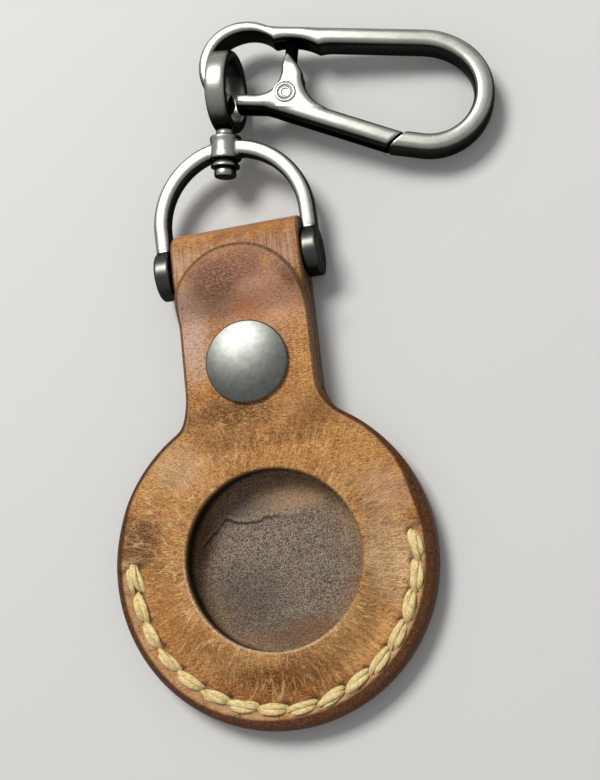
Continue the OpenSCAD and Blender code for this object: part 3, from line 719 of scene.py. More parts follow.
def gate_casting():
    """The gate: a long arm with a slanted end, a short arm, and a hub that runs out into a pointed finger between two
    hollow arcs; all are bars between two edge lines. The slot for the frame's tongue is carved out of the middle."""
    side = HALF_BAR / np.cos(ARM_FALL)
    s = np.linspace(0, 1, 60)
    xu, xl = -0.6 + 19.1 * s, -0.9 + 16.8 * s
    long_arm = bar_between(line(xu, gate_line(xu) + side), line(xl, gate_line(xl) - side), 2.37, 3.4, 44, tip=0.2)
    x = np.linspace(-7.5, 1.5, 70)
    (cx, cy), hollow_r = (-4.9, 3.65), 3.85
    rise = cy - np.sqrt(hollow_r**2 - np.clip(x - cx, 0, 2.75) ** 2)
    under = np.minimum(-2.5, gate_line(x) - side)
    short_arm = bar_between(line(x, rise), line(x, under), 2.36, 3.4, 44, tip=0.25)
    y = np.concatenate([np.linspace(-2.4, 5.4, 80), np.linspace(5.45, 6.62, 16)])
    left = cx + np.sqrt(hollow_r**2 - (np.clip(y, 0.95, 4.4) - cy) ** 2)
    left = np.where(y > 4.4, np.interp(y, [4.4, 5.6, 6.4, 6.62], [-1.12, -0.95, -0.74, -0.5]), left)
    (cx, cy), hollow_r = (8.431, 3.757), 6.1
    right = cx - np.sqrt(np.clip(hollow_r**2 - (np.clip(y, -2.3, 3.75) - cy) ** 2, 0, None))
    right = np.where(y > 3.4, np.interp(y, [3.4, 4.4, 5.5, 6.3, 6.62], [2.32, 1.72, 0.86, 0.16, -0.25]), right)
    half = HALF_BAR_HEIGHT - 0.45 * ease((y - 4.4) / 2.2)
    finger = bar_between(line(np.minimum(right, 6.4), y), line(np.maximum(left, -4.6), y), half, 5.5, 60)
    hub = revolve(button(2.15, -HALF_BAR_HEIGHT, HALF_BAR_HEIGHT, 0.3), 64)
    body = cast(together(long_arm, short_arm, finger, hub), FINE_CELL, 14)
    slot = plug(4.35, -SLOT_HALF_HEIGHT, SLOT_HALF_HEIGHT, 64)
    way = box_shell((-7.0, 0.0, -SLOT_HALF_HEIGHT), (7.0, 9.6, SLOT_HALF_HEIGHT))
    body = carved(body, slot, way, plug(RIVET_SINK, -2.85, -2.25, 64), plug(RIVET_SINK, 2.25, 2.85, 64))
    # Painted shade: a near-black mark on the faces inside the slot.
    recess_shade = ease((0.98 - np.abs(body[0][:, 2])) / 0.08)
    return moved(body, CAR_TURN, RIVET), {"recess_shade": recess_shade}


def spring_shape():
    """Bent wire in the slot, 0.6 thick: down an arc of radius 2.8 about the rivet, from 58 to minus 9 degrees, round
    a small bend and straight out along minus 16 degrees; at each station a circle lies across the path."""
    t = np.radians(np.linspace(58, -9, 34))
    arc = SPRING_R * line(np.cos(t), np.sin(t))
    ray = np.array([np.cos(ARM_FALL), -np.sin(ARM_FALL)])
    s = np.linspace(0.2, 0.8, 4)[:, None]
    bend = (1 - s) ** 2 * arc[-1] + 2 * s * (1 - s) * SPRING_R * ray + s**2 * 3.15 * ray
    path = np.concatenate([arc, bend, np.linspace(3.15, 4.25, 8)[:, None] * ray])
    way = np.gradient(path, axis=0)
    way = way / np.linalg.norm(way, axis=1, keepdims=True)
    across = line(way[:, 1], -way[:, 0])
    a = np.linspace(0, 2 * np.pi, 16, endpoint=False)
    flat = path[:, None] + WIRE_R * np.cos(a)[:, None] * across[:, None]
    up = np.broadcast_to(WIRE_R * np.sin(a)[:, None], flat.shape[:2] + (1,))
    return moved(skin(closed(np.concatenate([flat, up], -1))), CAR_TURN, RIVET)


def rivet_shape():
    """Rivet head: a raised ring, a ring groove and a small dimple, the same on both faces of the gate."""
    half = [
        (0.0, 2.16), (0.34, 2.17), (0.5, 2.24), (0.6, 2.34), (0.74, 2.37), (0.88, 2.34), (0.98, 2.25), (1.08, 2.25),
        (1.2, 2.36), (1.36, 2.40), (1.52, 2.37), (1.64, 2.27), (1.70, 2.2),
    ]
    shank = [(RIVET_HEAD_R, -2.1), (RIVET_R, -2.0), (RIVET_R, 2.0), (RIVET_HEAD_R, 2.1)]
    profile = [(r, -z) for r, z in half] + shank + half[::-1]
    return moved(revolve(profile, 64), CAR_TURN, RIVET)


# ---------------------------------------------------------------- finishes
def srgb(r, g, b):
    """A tone given as 0 to 255 values, as the linear colour that the shader takes."""
    c = np.array([r, g, b]) / 255.0
    c = np.where(c <= 0.04045, c / 12.92, ((c + 0.055) / 1.055) ** 2.4)
    return (float(c[0]), float(c[1]), float(c[2]), 1.0)


class Bench:
    """Short hand for placing shader nodes in a material's or a group's tree."""

    def __init__(self, tree):
        self.tree = tree

    def put(self, kind, inputs=(), **settings):
        """A node with its settings; an input is a number, a colour or another node's output."""
        node = self.tree.nodes.new(kind)
        for name, value in settings.items():
            setattr(node, name, value)
        for key, value in dict(inputs).items():
            self.feed(value, node, key)
        return node

    def feed(self, value, node, key):
        if isinstance(value, bpy.types.NodeSocket):
            self.tree.links.new(value, node.inputs[key])
        elif value is not None:
            node.inputs[key].default_value = value

    def maths(self, operation, a, b=0.5, clamp=False):
        return self.put("ShaderNodeMath", {0: a, 1: b}, operation=operation, use_clamp=clamp).outputs[0]

    def times(self, a, b):
        return self.maths("MULTIPLY", a, b)

    def plus(self, a, b, clamp=False):
        return self.maths("ADD", a, b, clamp)

    def minus(self, a, b, clamp=False):
        return self.maths("SUBTRACT", a, b, clamp)

    def vectors(self, operation, a, b=None):
        return self.put("ShaderNodeVectorMath", {0: a, 1: b}, operation=operation).outputs

    def dot(self, a, b):
        return self.vectors("DOT_PRODUCT", a, b)["Value"]

    def length(self, vector):
        return self.vectors("LENGTH", vector)["Value"]

    def bent(self, where, slow, amount):
        """A place moved by an amount of a noise's colour."""
        shift = self.put("ShaderNodeVectorMath", {0: slow, "Scale": amount}, operation="SCALE").outputs[0]
        return self.vectors("ADD", where, shift)[0]

    def parts(self, vector):
        """The x, y and z of a vector."""
        return tuple(self.put("ShaderNodeSeparateXYZ", {0: vector}).outputs)

    def noise(self, where, scale, detail=4.0, rough=0.55, twist=0.0, colour=False):
        inputs = {"Vector": where, "Scale": scale, "Detail": detail, "Roughness": rough, "Distortion": twist}
        return self.put("ShaderNodeTexNoise", inputs).outputs["Color" if colour else "Fac"]

    def cells(self, where, scale, feature="F1", space="3D"):
        """Distance from the nearest cell's point, or from the border between two cells."""
        settings = {"voronoi_dimensions": space, "feature": feature}
        return self.put("ShaderNodeTexVoronoi", {"Vector": where, "Scale": scale}, **settings).outputs["Distance"]

    def band(self, value, low, high, out_low=0.0, out_high=1.0):
        """Smooth step of a value from low to high, and a step down where low is the larger."""
        inputs = {0: value, 1: low, 2: high, 3: out_low, 4: out_high}
        return self.put("ShaderNodeMapRange", inputs, interpolation_type="SMOOTHSTEP").outputs[0]

    def blend(self, share, a, b):
        return self.put("ShaderNodeMix", {0: share, 6: a, 7: b}, data_type="RGBA").outputs[2]

    def tint(self, tone, share, colour):
        """A tone with a share of a colour laid over it."""
        return self.blend(share, tone, srgb(*colour))

    def mark(self, name, vector=False):
        return self.put("ShaderNodeAttribute", attribute_name=name).outputs["Vector" if vector else "Fac"]

    def here(self, what="Object"):
        return self.put("ShaderNodeTexCoord").outputs[what]

    def place(self, stretch=(1, 1, 1), turned=(0, 0, 0), move=(0, 0, 0), mm=1.0):
        """Object coordinates in millimetres, stretched, turned and moved."""
        scale = tuple(1000.0 * mm * s for s in stretch)
        inputs = {"Vector": self.here(), "Location": move, "Rotation": turned, "Scale": scale}
        return self.put("ShaderNodeMapping", inputs).outputs[0]

    def relief(self, shader, height, strength, distance):
        bump = self.put("ShaderNodeBump", {"Height": height, "Strength": strength, "Distance": distance})
        self.feed(bump.outputs[0], shader, "Normal")


def group(name, inputs, outputs, make):
    """A node group with named inputs and outputs; make fills it in."""
    tree = bpy.data.node_groups.new(name, "ShaderNodeTree")
    tree.interface.new_socket(name="Where", in_out="INPUT", socket_type="NodeSocketVector")
    for label, value in inputs.items():
        tree.interface.new_socket(name=label, in_out="INPUT", socket_type="NodeSocketFloat").default_value = value
    for label in outputs:
        tree.interface.new_socket(name=label, in_out="OUTPUT", socket_type="NodeSocketFloat")
    bench = Bench(tree)
    source, target = bench.put("NodeGroupInput"), bench.put("NodeGroupOutput")
    for label, socket in make(bench, source.outputs).items():
        tree.links.new(socket, target.inputs[label])
    return tree


def use(bench, tree, where, **values):
    """Places a group in a material with its own values."""
    node = bench.put("ShaderNodeGroup", node_tree=tree)
    for key, value in dict(values, Where=where).items():
        bench.feed(value, node, key)
    return node.outputs


def hide_grain(b, i):
    """Skin grain: rounded cells a few tenths of a millimetre across broken up by finer ones, and small pores."""
    where, size = i["Where"], i["Scale"]
    slow = b.noise(where, b.times(size, 0.8), 2.0, 0.5, colour=True)
    bent = b.bent(where, slow, 0.45)
    coarse = b.cells(bent, size, "DISTANCE_TO_EDGE")
    fine = b.cells(bent, b.times(size, 2.6), "DISTANCE_TO_EDGE")
    pebble = b.plus(b.times(b.band(coarse, 0.0, 0.16), 0.6), b.times(b.band(fine, 0.0, 0.2), 0.4))
    pores = b.band(b.cells(where, b.times(size, 1.35)), 0.10, 0.02)
    patches = b.band(b.noise(where, b.times(size, 0.12), 2.0), 0.35, 0.65)
    return {"Height": b.minus(pebble, b.times(pores, b.times(patches, 0.8)))}


def fine_creases(b, i):
    """Fine lines: thin ridges where a noise field crosses its middle value, at two sizes, kept where a slow noise
    allows."""
    where, size = i["Where"], i["Scale"]

    def lines(scale, twist):
        off = b.maths("ABSOLUTE", b.minus(b.noise(where, scale, 2.0, 0.5, twist), 0.5))
        return b.band(off, i["Width"], 0.0)

    kept = b.band(b.noise(where, b.times(size, 0.45), 1.0), 0.38, 0.62)
    small = b.times(lines(b.times(size, 2.3), 0.8), 0.5)
    return {"Lines": b.plus(b.times(lines(size, 0.4), kept), small, clamp=True)}


def mottling(b, i):
    """Uneven dye: three sizes of noise laid over each other."""
    where, size = i["Where"], i["Scale"]
    wide = b.noise(where, b.times(size, 0.11), 3.0, 0.55, 0.6)
    mid = b.noise(where, b.times(size, 0.42), 5.0, 0.6, 0.3)
    small = b.noise(where, b.times(size, 2.2), 4.0, 0.7)
    total = b.plus(b.times(wide, 0.45), b.plus(b.times(mid, 0.35), b.times(small, 0.20)))
    return {"Deep": b.band(total, 0.40, 0.62)}


def worn_metal(b, i):
    """Rubbed plating: slow cloudy tone, fine pits, and long hair scratches in two directions."""
    where, size = i["Where"], i["Scale"]
    pits = b.band(b.cells(where, b.times(size, 1.7)), 0.09, 0.03)

    def hair(turned, stretch):
        along = b.put("ShaderNodeMapping", {"Vector": where, "Rotation": turned, "Scale": stretch}).outputs[0]
        return b.band(b.maths("ABSOLUTE", b.minus(b.noise(along, size, 1.0, 0.5), 0.5)), 0.012, 0.0)

    one, two = hair((0.2, 0.1, 0.5), (0.25, 7.0, 1.0)), hair((0.3, 0.0, 2.0), (0.22, 6.0, 1.4))
    return {
        "Cloud": b.noise(where, b.times(size, 0.35), 4.0, 0.6, 0.4),
        "Fine": b.noise(where, b.times(size, 3.0), 4.0, 0.7),
        "Pits": b.times(pits, b.band(b.noise(where, b.times(size, 0.5), 1.0), 0.5, 0.66)),
        "Scratches": b.plus(one, two, clamp=True),
    }


GRAIN = group("hide_grain", {"Scale": 2.2}, ("Height",), hide_grain)
CREASES = group("fine_creases", {"Scale": 1.0, "Width": 0.02}, ("Lines",), fine_creases)
DYE = group("mottled_dye", {"Scale": 1.0}, ("Deep",), mottling)
WORN = group("worn_metal", {"Scale": 1.0}, ("Cloud", "Fine", "Pits", "Scratches"), worn_metal)


def new_finish(name):
    """An empty material with a Principled shader, and its bench."""
    material = bpy.data.materials.new(name)
    material.use_nodes = True
    material.node_tree.nodes.clear()
    bench = Bench(material.node_tree)
    shader = bench.put("ShaderNodeBsdfPrincipled")
    bench.put("ShaderNodeOutputMaterial", {"Surface": shader.outputs[0]})
    return material, bench, shader


def spot(b, centre, radii, ragged, broken=None):
    """A soft ragged patch about a point (millimetres): one inside, none outside an ellipsoid broken up by noise."""
    scale = tuple(1000.0 / r for r in radii)
    at = tuple(-c / r for c, r in zip(centre, radii))
    inside = b.put("ShaderNodeMapping", {"Vector": b.here(), "Location": at, "Scale": scale}).outputs[0]
    broken = broken or b.noise(b.place(mm=0.35), 1.0, 7.0, 0.78)
    rough = b.times(b.minus(broken, 0.5), ragged * 2)
    return b.band(b.plus(b.length(inside), rough), 1.25, 0.35)


def fanned(b, fan, around, outwards, shift):
    """The window's two maps, an angle and a distance each, with their seams on opposite sides. The second map is
    moved on, so that the two don't repeat each other."""
    angle, other, far = b.parts(fan)
    return [b.put("ShaderNodeCombineXYZ", {0: b.times(turned, around), 1: b.times(far, outwards), 2: by}).outputs[0]
            for turned, by in ((angle, 0.0), (other, shift))]


def wrinkles(b, fan, cos, around, outwards, width):
    """Thin pale ridges that run outwards from the window and join here and there: the borders of cells laid out on
    the angle and the distance, long outwards, bent by a slow noise. Two maps are mixed, each kept away from its
    seam."""
    layers = []
    for laid in fanned(b, fan, around, outwards, 37.0):
        slow = b.noise(laid, 0.55, 4.0, 0.6, colour=True)
        off = b.cells(b.bent(laid, slow, 1.25), 1.0, "DISTANCE_TO_EDGE", "2D")
        thick = b.times(b.band(b.noise(laid, 0.9, 2.0), 0.35, 0.65, 0.3, 1.0), width)
        layers.append(b.minus(1.0, b.maths("DIVIDE", off, thick, clamp=True), clamp=True))
    one = b.times(layers[0], b.band(cos, -0.7, -0.2))
    return b.plus(one, b.times(layers[1], b.band(cos, -0.2, -0.7)), clamp=True)


def radial_streaks(b, fan, cos, around, outwards):
    """Noise drawn out away from the window, from two maps that are mixed, each kept away from its seam."""
    one, two = (b.noise(laid, 1.0, 5.0, 0.7) for laid in fanned(b, fan, around, outwards, 51.0))
    share = b.band(cos, -0.7, -0.2)
    return b.plus(b.times(one, share), b.times(two, b.minus(1.0, share)))


def tanned_hide(b, mm):
    """The hide's ground: mottled dye under dark and pale streaks, with the streaks and the grain's height."""
    tone = b.blend(use(b, DYE, mm)["Deep"], srgb(226, 165, 98), srgb(182, 117, 58))
    streak = b.noise(b.place((0.5, 1.6, 1.0), (0, 0, 0.5)), 2.6, 5.0, 0.75)
    tone = b.tint(tone, b.band(streak, 0.48, 0.64, 0.0, 0.80), (104, 60, 26))
    tone = b.tint(tone, b.band(streak, 0.47, 0.32, 0.0, 0.75), (244, 186, 112))
    return tone, streak, use(b, GRAIN, mm, Scale=2.3)["Height"]


def front_wrinkles(b, mm, fan, ray):
    """Pale wrinkles that fan out from the window, strongest at its upper left and below it, and fine lines beyond."""
    cos, sin, far = b.parts(ray)
    upper = b.times(b.band(b.dot(ray, (-0.82, 0.57, 0.0)), 0.62, 0.93), b.band(far, 2.0, 1.5))
    lower = b.times(b.band(b.dot(ray, (0.35, -0.94, 0.0)), -0.15, 0.55), b.band(far, 1.62, 1.3))
    kept = b.times(b.maths("MAXIMUM", upper, lower), b.band(far, 0.99, 1.05))
    kept = b.plus(kept, b.times(b.band(far, 1.75, 1.2), 0.6), clamp=True)
    patchy = b.band(b.noise(mm, 0.35, 2.0), 0.34, 0.55, 0.25, 1.0)
    bold, fine = wrinkles(b, fan, cos, 15.0, 1.9, 0.10), wrinkles(b, fan, cos, 30.0, 3.2, 0.14)
    lines = b.times(b.times(b.plus(b.times(bold, 0.9), b.times(fine, 0.6), clamp=True), kept), patchy)
    wander = use(b, CREASES, b.place((0.5, 1.3, 1.0)), Scale=0.9, Width=0.022)["Lines"]
    wander = b.times(wander, b.times(b.band(far, 3.6, 1.4, 0.15, 1.0), b.band(sin, -0.6, 0.2)))
    return b.plus(lines, b.times(wander, 0.35), clamp=True)


def front_wear(b, mm, tone, height):
    """The front's marks: flecks, stains and painted sheen patches, streaks and wrinkles about the window, rubbed and
    pressed places along the stitches with painted shade in the holes, and a painted highlight along the tab's edge.
    Gives also the distance from the window and the painted highlight on the window's rim."""
    fleck = b.noise(b.place((1.0, 1.5, 1.0), (0, 0, -0.6)), 3.6, 3.0, 0.65)
    tone = b.tint(tone, b.band(fleck, 0.50, 0.64, 0.0, 0.5), (90, 50, 20))
    tone = b.tint(tone, b.band(fleck, 0.48, 0.35, 0.0, 0.5), (240, 189, 122))
    broken = b.noise(mm, 0.35, 8.0, 0.8)
    grit = b.band(b.noise(b.place((0.8, 2.0, 1.0), (0, 0, 0.25)), 2.4, 4.0, 0.75), 0.40, 0.56, 0.22, 1.0)
    # Stains, and pale patches of painted sheen.
    for centre, radii, colour, share in STAINS_AND_SHEEN:
        tone = b.tint(tone, b.times(b.times(spot(b, centre, radii, 1.0, broken), share), grit), colour)
    tone = b.tint(tone, b.band(fleck, 0.50, 0.66, 0.0, 0.28), (74, 42, 22))
    fan, ray = b.mark("fan", vector=True), b.mark("ray", vector=True)
    cos, _, far = b.parts(ray)
    streaks, zone = radial_streaks(b, fan, cos, 30.0, 4.0), b.band(far, 1.95, 1.45)
    tone = b.tint(tone, b.times(b.band(streaks, 0.52, 0.66, 0.0, 0.42), zone), (108, 60, 22))
    tone = b.tint(tone, b.times(b.band(streaks, 0.48, 0.34, 0.0, 0.42), zone), (252, 196, 126))
    lines = front_wrinkles(b, mm, fan, ray)
    tone = b.tint(tone, b.times(lines, 0.86), (250, 205, 144))
    rub = b.times(b.mark("rub"), b.band(b.noise(mm, 1.1, 4.0, 0.7), 0.34, 0.60))
    tone = b.tint(tone, b.times(rub, 0.62), (206, 172, 138))
    # Darker at each stitch hole: grime, with painted shade in the holes.
    tone = b.tint(tone, b.times(b.mark("pit"), 0.85), (52, 30, 16))
    # Painted highlight: a pale line along the tab's top edge.
    lip_highlight = b.times(b.mark("lip_highlight"), b.band(fleck, 0.30, 0.55))
    tone = b.tint(tone, b.times(lip_highlight, 0.5), (214, 178, 144))
    # Painted highlight: a pale line on the lower left of the window's rim, where it faces the lamp.
    lit_rim = b.times(b.mark("rim_highlight"), b.band(b.dot(ray, (-0.42, -0.91, 0.0)), 0.05, 0.6))
    lit_rim = b.times(lit_rim, b.band(fleck, 0.34, 0.54, 0.85, 0.45))
    return tone, b.plus(height, b.times(lines, 1.8)), far, lit_rim


def pouch_floor(b, mm, suede, broken):
    """Napped grey leather on the floor of the pouch, with its stains."""
    grey = b.blend(b.band(suede, 0.38, 0.62), srgb(74, 64, 56), srgb(178, 162, 144))
    grey = b.tint(grey, b.band(b.noise(mm, 0.9, 7.0, 0.8), 0.50, 0.66, 0.0, 0.6), (104, 76, 54))
    for centre, radii, colour, share in INNER_STAINS:
        speck = b.band(suede, 0.36, 0.58, share * 0.45, share)
        grey = b.tint(grey, b.times(spot(b, centre, radii, 1.0, broken), speck), colour)
    return grey


def inside_wear(b, mm, tone, height):
    """The pouch's floor with a crack across it, painted highlight on its ridge and painted shade in it, painted shade
    under the window's rim, and the strap's golden, polished fold with painted sheen. Gives also where the strap is
    polished."""
    suede, broken = b.noise(mm, 5.2, 3.0, 0.7), b.noise(mm, 0.5, 8.0, 0.8)
    flesh = b.mark("flesh")
    on_floor = b.times(flesh, spot(b, (0, 0, 2), (19.5, 19.5, 3.0), 0.0))
    tone = b.blend(on_floor, tone, pouch_floor(b, mm, suede, broken))
    x, y, _ = b.parts(mm)
    wave = b.times(b.minus(b.noise(b.place((1.0, 0.1, 1.0)), 0.40, 3.0, 0.55), 0.5), 3.2)
    off = b.minus(y, b.plus(wave, b.band(x, -10.8, -6.8, 3.4, 6.4)))
    kept = b.times(b.band(x, -12.0, -9.5), b.band(x, 4.5, -1.0))
    kept = b.times(kept, b.band(suede, 0.30, 0.50, 0.4, 1.0))
    crack_and_shade = b.times(b.band(b.maths("ABSOLUTE", b.plus(off, 0.12)), 0.36, 0.04), kept)
    ridge_highlight = b.times(b.band(b.maths("ABSOLUTE", b.minus(off, 0.38)), 0.46, 0.05), kept)
    # Painted highlight on the crack's ridge and painted shade in the crack itself; the crack also sinks the bump.
    tone = b.tint(tone, b.times(ridge_highlight, 0.55), (172, 144, 112))
    tone = b.tint(tone, b.times(crack_and_shade, 0.8), (40, 31, 26))
    height = b.minus(b.plus(height, b.times(suede, 1.2)), b.times(crack_and_shade, 1.5))
    from_rim = b.length(b.place((1, 1, 0), move=(-0.8, 0, 0)))
    # Painted shade on the pouch's floor under the front's dome, from just outside the window's rim.
    shade = b.times(b.band(from_rim, 12.8, 13.7), b.times(flesh, b.band(from_rim, 19.0, 17.0)))
    tone = b.tint(tone, b.times(shade, 0.9), (30, 19, 12))
    tone = b.tint(tone, b.times(spot(b, (0, 50.5, 5.0), (14, 1.6, 4.0), 0.3), 0.7), (188, 128, 66))
    polished = b.band(y, 40.0, 45.0)
    tone = b.tint(tone, b.times(polished, b.band(broken, 0.42, 0.62, 0.15, 0.7)), (150, 104, 74))
    # Painted sheen: pale streaks on the fold's front face.
    sheen = b.band(b.noise(b.place((1.7, 0.10, 0.3)), 1.3, 4.0, 0.6), 0.40, 0.62)
    sheen = b.times(sheen, b.times(b.band(y, 40.0, 43.5), b.band(y, 48.6, 46.4)))
    return b.tint(tone, b.times(sheen, 0.5), (228, 200, 182)), height, polished


def leather_finish(name, inside=False):
    """Pull-up leather: mottled brown, darker in stains, paler along creases and rubbed places, burnished cut
    edges."""
    material, b, shader = new_finish(name)
    mm, cut = b.place(), b.mark("cut")
    tone, streak, grain = tanned_hide(b, mm)
    height = b.plus(b.times(grain, 0.35), b.times(streak, 1.1))
    if inside:
        tone, height, polished = inside_wear(b, mm, tone, height)
        worn_edge = cut
    else:
        tone, height, far, lit_rim = front_wear(b, mm, tone, height)
        worn_edge = b.mark("burnish")
    fibre = b.band(b.noise(b.place((1.2, 1.2, 5.0)), 2.2, 5.0, 0.7), 0.35, 0.65)
    raw = b.blend(fibre, srgb(60, 31, 9), srgb(102, 60, 22))
    pale = b.blend(fibre, srgb(92, 62, 38), srgb(150, 114, 78))
    raw = b.blend(b.band(b.parts(mm)[1], 20.0, 25.0, 0.0, 0.8), raw, pale)
    if not inside:
        # Painted shade: the window's cut wall is painted near-black where the rim overhangs the pouch.
        raw = b.tint(raw, b.band(far, 1.022, 1.006), (28, 17, 9))
    bare = b.times(b.maths("MAXIMUM", cut, worn_edge), b.band(b.noise(mm, 1.4, 3.0, 0.6), 0.2, 0.5, 0.85, 1.0))
    tone = b.blend(bare, tone, raw)
    rough = b.band(b.plus(b.times(streak, 0.6), b.times(grain, 0.4)), 0.25, 0.75, 0.42, 0.62)
    rough = b.minus(rough, b.times(worn_edge, 0.12))
    if inside:
        rough = b.minus(rough, b.times(polished, 0.14))
    else:
        # Painted highlight on the window's rim.
        tone = b.tint(tone, lit_rim, (244, 222, 192))
    b.feed(tone, shader, "Base Color")
    b.feed(rough, shader, "Roughness")
    shader.inputs["Specular IOR Level"].default_value = 0.27
    b.relief(shader, height, 0.75, 0.0002)
    return material


# Centre and radii in millimetres, colour and share of each patch: stains and painted sheen on the front, then stains
# inside the pouch.
STAINS_AND_SHEEN = (
    ((-1.0, 38.5, 9.5), (12.0, 10.0, 6.0), (202, 154, 134), 0.90),
    ((-0.8, 42.6, 10.0), (7.6, 3.6, 5.0), (110, 74, 64), 0.85),
    ((-3.2, 40.8, 10.0), (4.8, 3.2, 5.0), (98, 66, 60), 0.75),
    ((7.6, 42.0, 9.5), (1.6, 2.0, 5.0), (104, 82, 78), 0.85),
    ((8.3, 40.2, 9.5), (1.3, 1.7, 5.0), (110, 78, 70), 0.85),
    ((2.8, 38.9, 9.5), (3.8, 2.0, 5.0), (230, 172, 140), 0.90),
    ((-4.5, 37.0, 9.5), (4.6, 2.0, 5.0), (146, 106, 86), 0.50),
    ((1.9, 36.6, 9.0), (3.4, 2.2, 5.0), (206, 114, 60), 0.80),
    ((5.4, 36.6, 9.0), (5.0, 3.5, 5.0), (226, 172, 140), 0.85),
    # Painted sheen: the pale patch on the tab's left side.
    ((-8.0, 33.8, 8.0), (3.2, 7.5, 5.0), (218, 186, 170), 1.00),
    ((-19.6, 5.3, 4.5), (4.0, 4.8, 4.0), (84, 56, 44), 1.0),
    ((-2.6, 21.6, 6.5), (7.5, 2.6, 4.0), (96, 60, 32), 0.95),
    ((-4.9, 16.6, 6.0), (5.0, 2.5, 4.0), (130, 90, 58), 0.45),
    ((7.3, 22.1, 6.0), (4.0, 4.5, 4.0), (184, 126, 76), 0.55),
    ((-12.9, 14.8, 5.5), (4.8, 4.0, 4.0), (218, 184, 148), 0.80),
    # Painted sheen: the two pale patches right of the window.
    ((17.4, -2.0, 5.5), (3.8, 7.5, 4.0), (252, 214, 166), 0.95),
    ((17.5, 7.5, 5.0), (4.0, 5.0, 4.0), (210, 170, 136), 0.80),
    ((-2.0, -18.1, 5.0), (14.0, 3.8, 4.0), (124, 62, 0), 1.00),
    ((-15.5, -7.5, 5.5), (5.0, 7.5, 4.0), (180, 116, 48), 0.60),
    ((12.5, -12.0, 5.5), (6.0, 5.0, 4.0), (250, 190, 116), 0.85),
    ((-7.8, -21.3, 4.0), (1.1, 1.1, 3.0), (48, 38, 50), 0.90),
    ((22.1, 2.6, 4.2), (0.9, 1.3, 2.0), (44, 26, 14), 0.90),
    ((-21.6, 0.9, 4.3), (1.8, 0.8, 2.0), (58, 36, 22), 0.85),
)
INNER_STAINS = (
    ((3.5, 8.8, 2.0), (6.5, 2.6, 3.0), (206, 168, 128), 0.72),
    ((3.0, -10.6, 2.0), (8.0, 2.4, 3.0), (118, 84, 58), 0.60),
    ((-5.0, -5.0, 2.0), (7.0, 5.5, 3.0), (62, 55, 48), 0.45),
    ((-3.0, 8.4, 2.0), (7.0, 1.4, 3.0), (104, 100, 98), 0.45),
    ((-11.0, 5.0, 2.0), (2.6, 6.0, 3.0), (70, 46, 30), 0.60),
)
finish_front = leather_finish("front_leather_brown")
finish_back = leather_finish("back_leather_brown", inside=True)


def thread_finish():
    """Waxed cream thread: fine fibres along each ply, painted olive shade where the plies face sideways or down,
    grime here and there."""
    material, b, shader = new_finish("waxed_thread")
    fibre = b.noise(b.mark("laid", vector=True), 3.2, 4.0, 0.7)
    tone = b.blend(b.band(fibre, 0.36, 0.62), srgb(196, 164, 98), srgb(250, 232, 168))
    facing_for_shade = b.parts(b.here("Normal"))[2]
    # Painted shade: olive where the plies face sideways or down.
    tone = b.tint(tone, b.band(facing_for_shade, 0.45, -0.1, 0.0, 0.75), (138, 114, 62))
    grime = b.times(b.band(b.noise(b.place(), 0.8, 4.0, 0.7), 0.54, 0.70), 0.5)
    b.feed(b.tint(tone, grime, (132, 104, 62)), shader, "Base Color")
    shader.inputs["Roughness"].default_value = 0.5
    shader.inputs["Sheen Weight"].default_value = 0.1
    b.relief(shader, fibre, 0.8, 0.00012)
    return material


def metal_finish(name, light, dark, rough, cloudy=1.0, scale=1.0, sides=None, ears=False):
    """Antiqued plated metal: cloudy grey, darker in pits, brighter on hair scratches. Where the piece's own faces
    look sideways a painted dark reflection lies on them; where they look up or down the bright tone stays. The
    shackle's ears are darker."""
    material, b, shader = new_finish(name)
    worn = use(b, WORN, b.place(), Scale=scale)
    tone = b.blend(b.band(worn["Cloud"], 0.5 - 0.2 / cloudy, 0.5 + 0.2 / cloudy), srgb(*dark), srgb(*light))
    tone = b.tint(tone, b.times(worn["Pits"], 0.35), (int(0.5 * v) for v in dark))
    # Painted dark reflection: faces that look sideways are painted near-black, faces that look up or down keep the
    # bright tone.
    if sides:
        facing_for_shade = b.maths("ABSOLUTE", b.parts(b.here("Normal"))[2])
        level = b.plus(facing_for_shade, b.times(b.minus(worn["Fine"], 0.5), 0.12))
        tone = b.tint(tone, b.band(level, 0.92, 0.46, 0.0, 0.97), sides)
    if ears:
        off = b.length(b.place((0, 1, 1), move=(0, -PIN_Y, -PIN_Z)))
        off = b.plus(off, b.times(worn["Fine"], 0.3))
        tone = b.tint(tone, b.band(off, 4.6, 3.9, 0.0, 0.85), (46, 46, 44))
    # Painted shade: the mark from the frame and the gate paints their sunk tongue and slot near-black.
    recess_shade = b.mark("recess_shade")
    b.feed(b.tint(tone, recess_shade, (6, 6, 6)), shader, "Base Color")
    shader.inputs["Metallic"].default_value = 1.0
    shader.inputs["Specular Tint"].default_value = (0.45, 0.45, 0.44, 1.0)
    smooth = b.minus(b.times(worn["Scratches"], 0.04), b.times(recess_shade, 0.4))
    b.feed(b.minus(b.band(worn["Fine"], 0.3, 0.7, rough - 0.03, rough + 0.04), smooth), shader, "Roughness")
    height = b.minus(b.times(worn["Fine"], 0.5), b.plus(worn["Pits"], b.times(worn["Scratches"], 0.3)))
    b.relief(shader, height, 0.12, 0.00001)
    return material


# The gunmetal's last colour is a painted dark reflection on faces that look sideways.
GUNMETAL = {"light": (198, 199, 190), "dark": (176, 177, 169), "rough": 0.34, "cloudy": 0.7, "sides": (20, 20, 19)}
finish_thread = thread_finish()
finish_cap = metal_finish("snap_patina", (122, 124, 120), (98, 100, 96), 0.36, cloudy=0.5, scale=3.0)
finish_inner = metal_finish("snap_inner_metal", (150, 148, 142), (104, 102, 98), 0.38)
finish_hardware = metal_finish("gunmetal", **GUNMETAL)
finish_shackle = metal_finish("gunmetal_shackle", **GUNMETAL, ears=True)
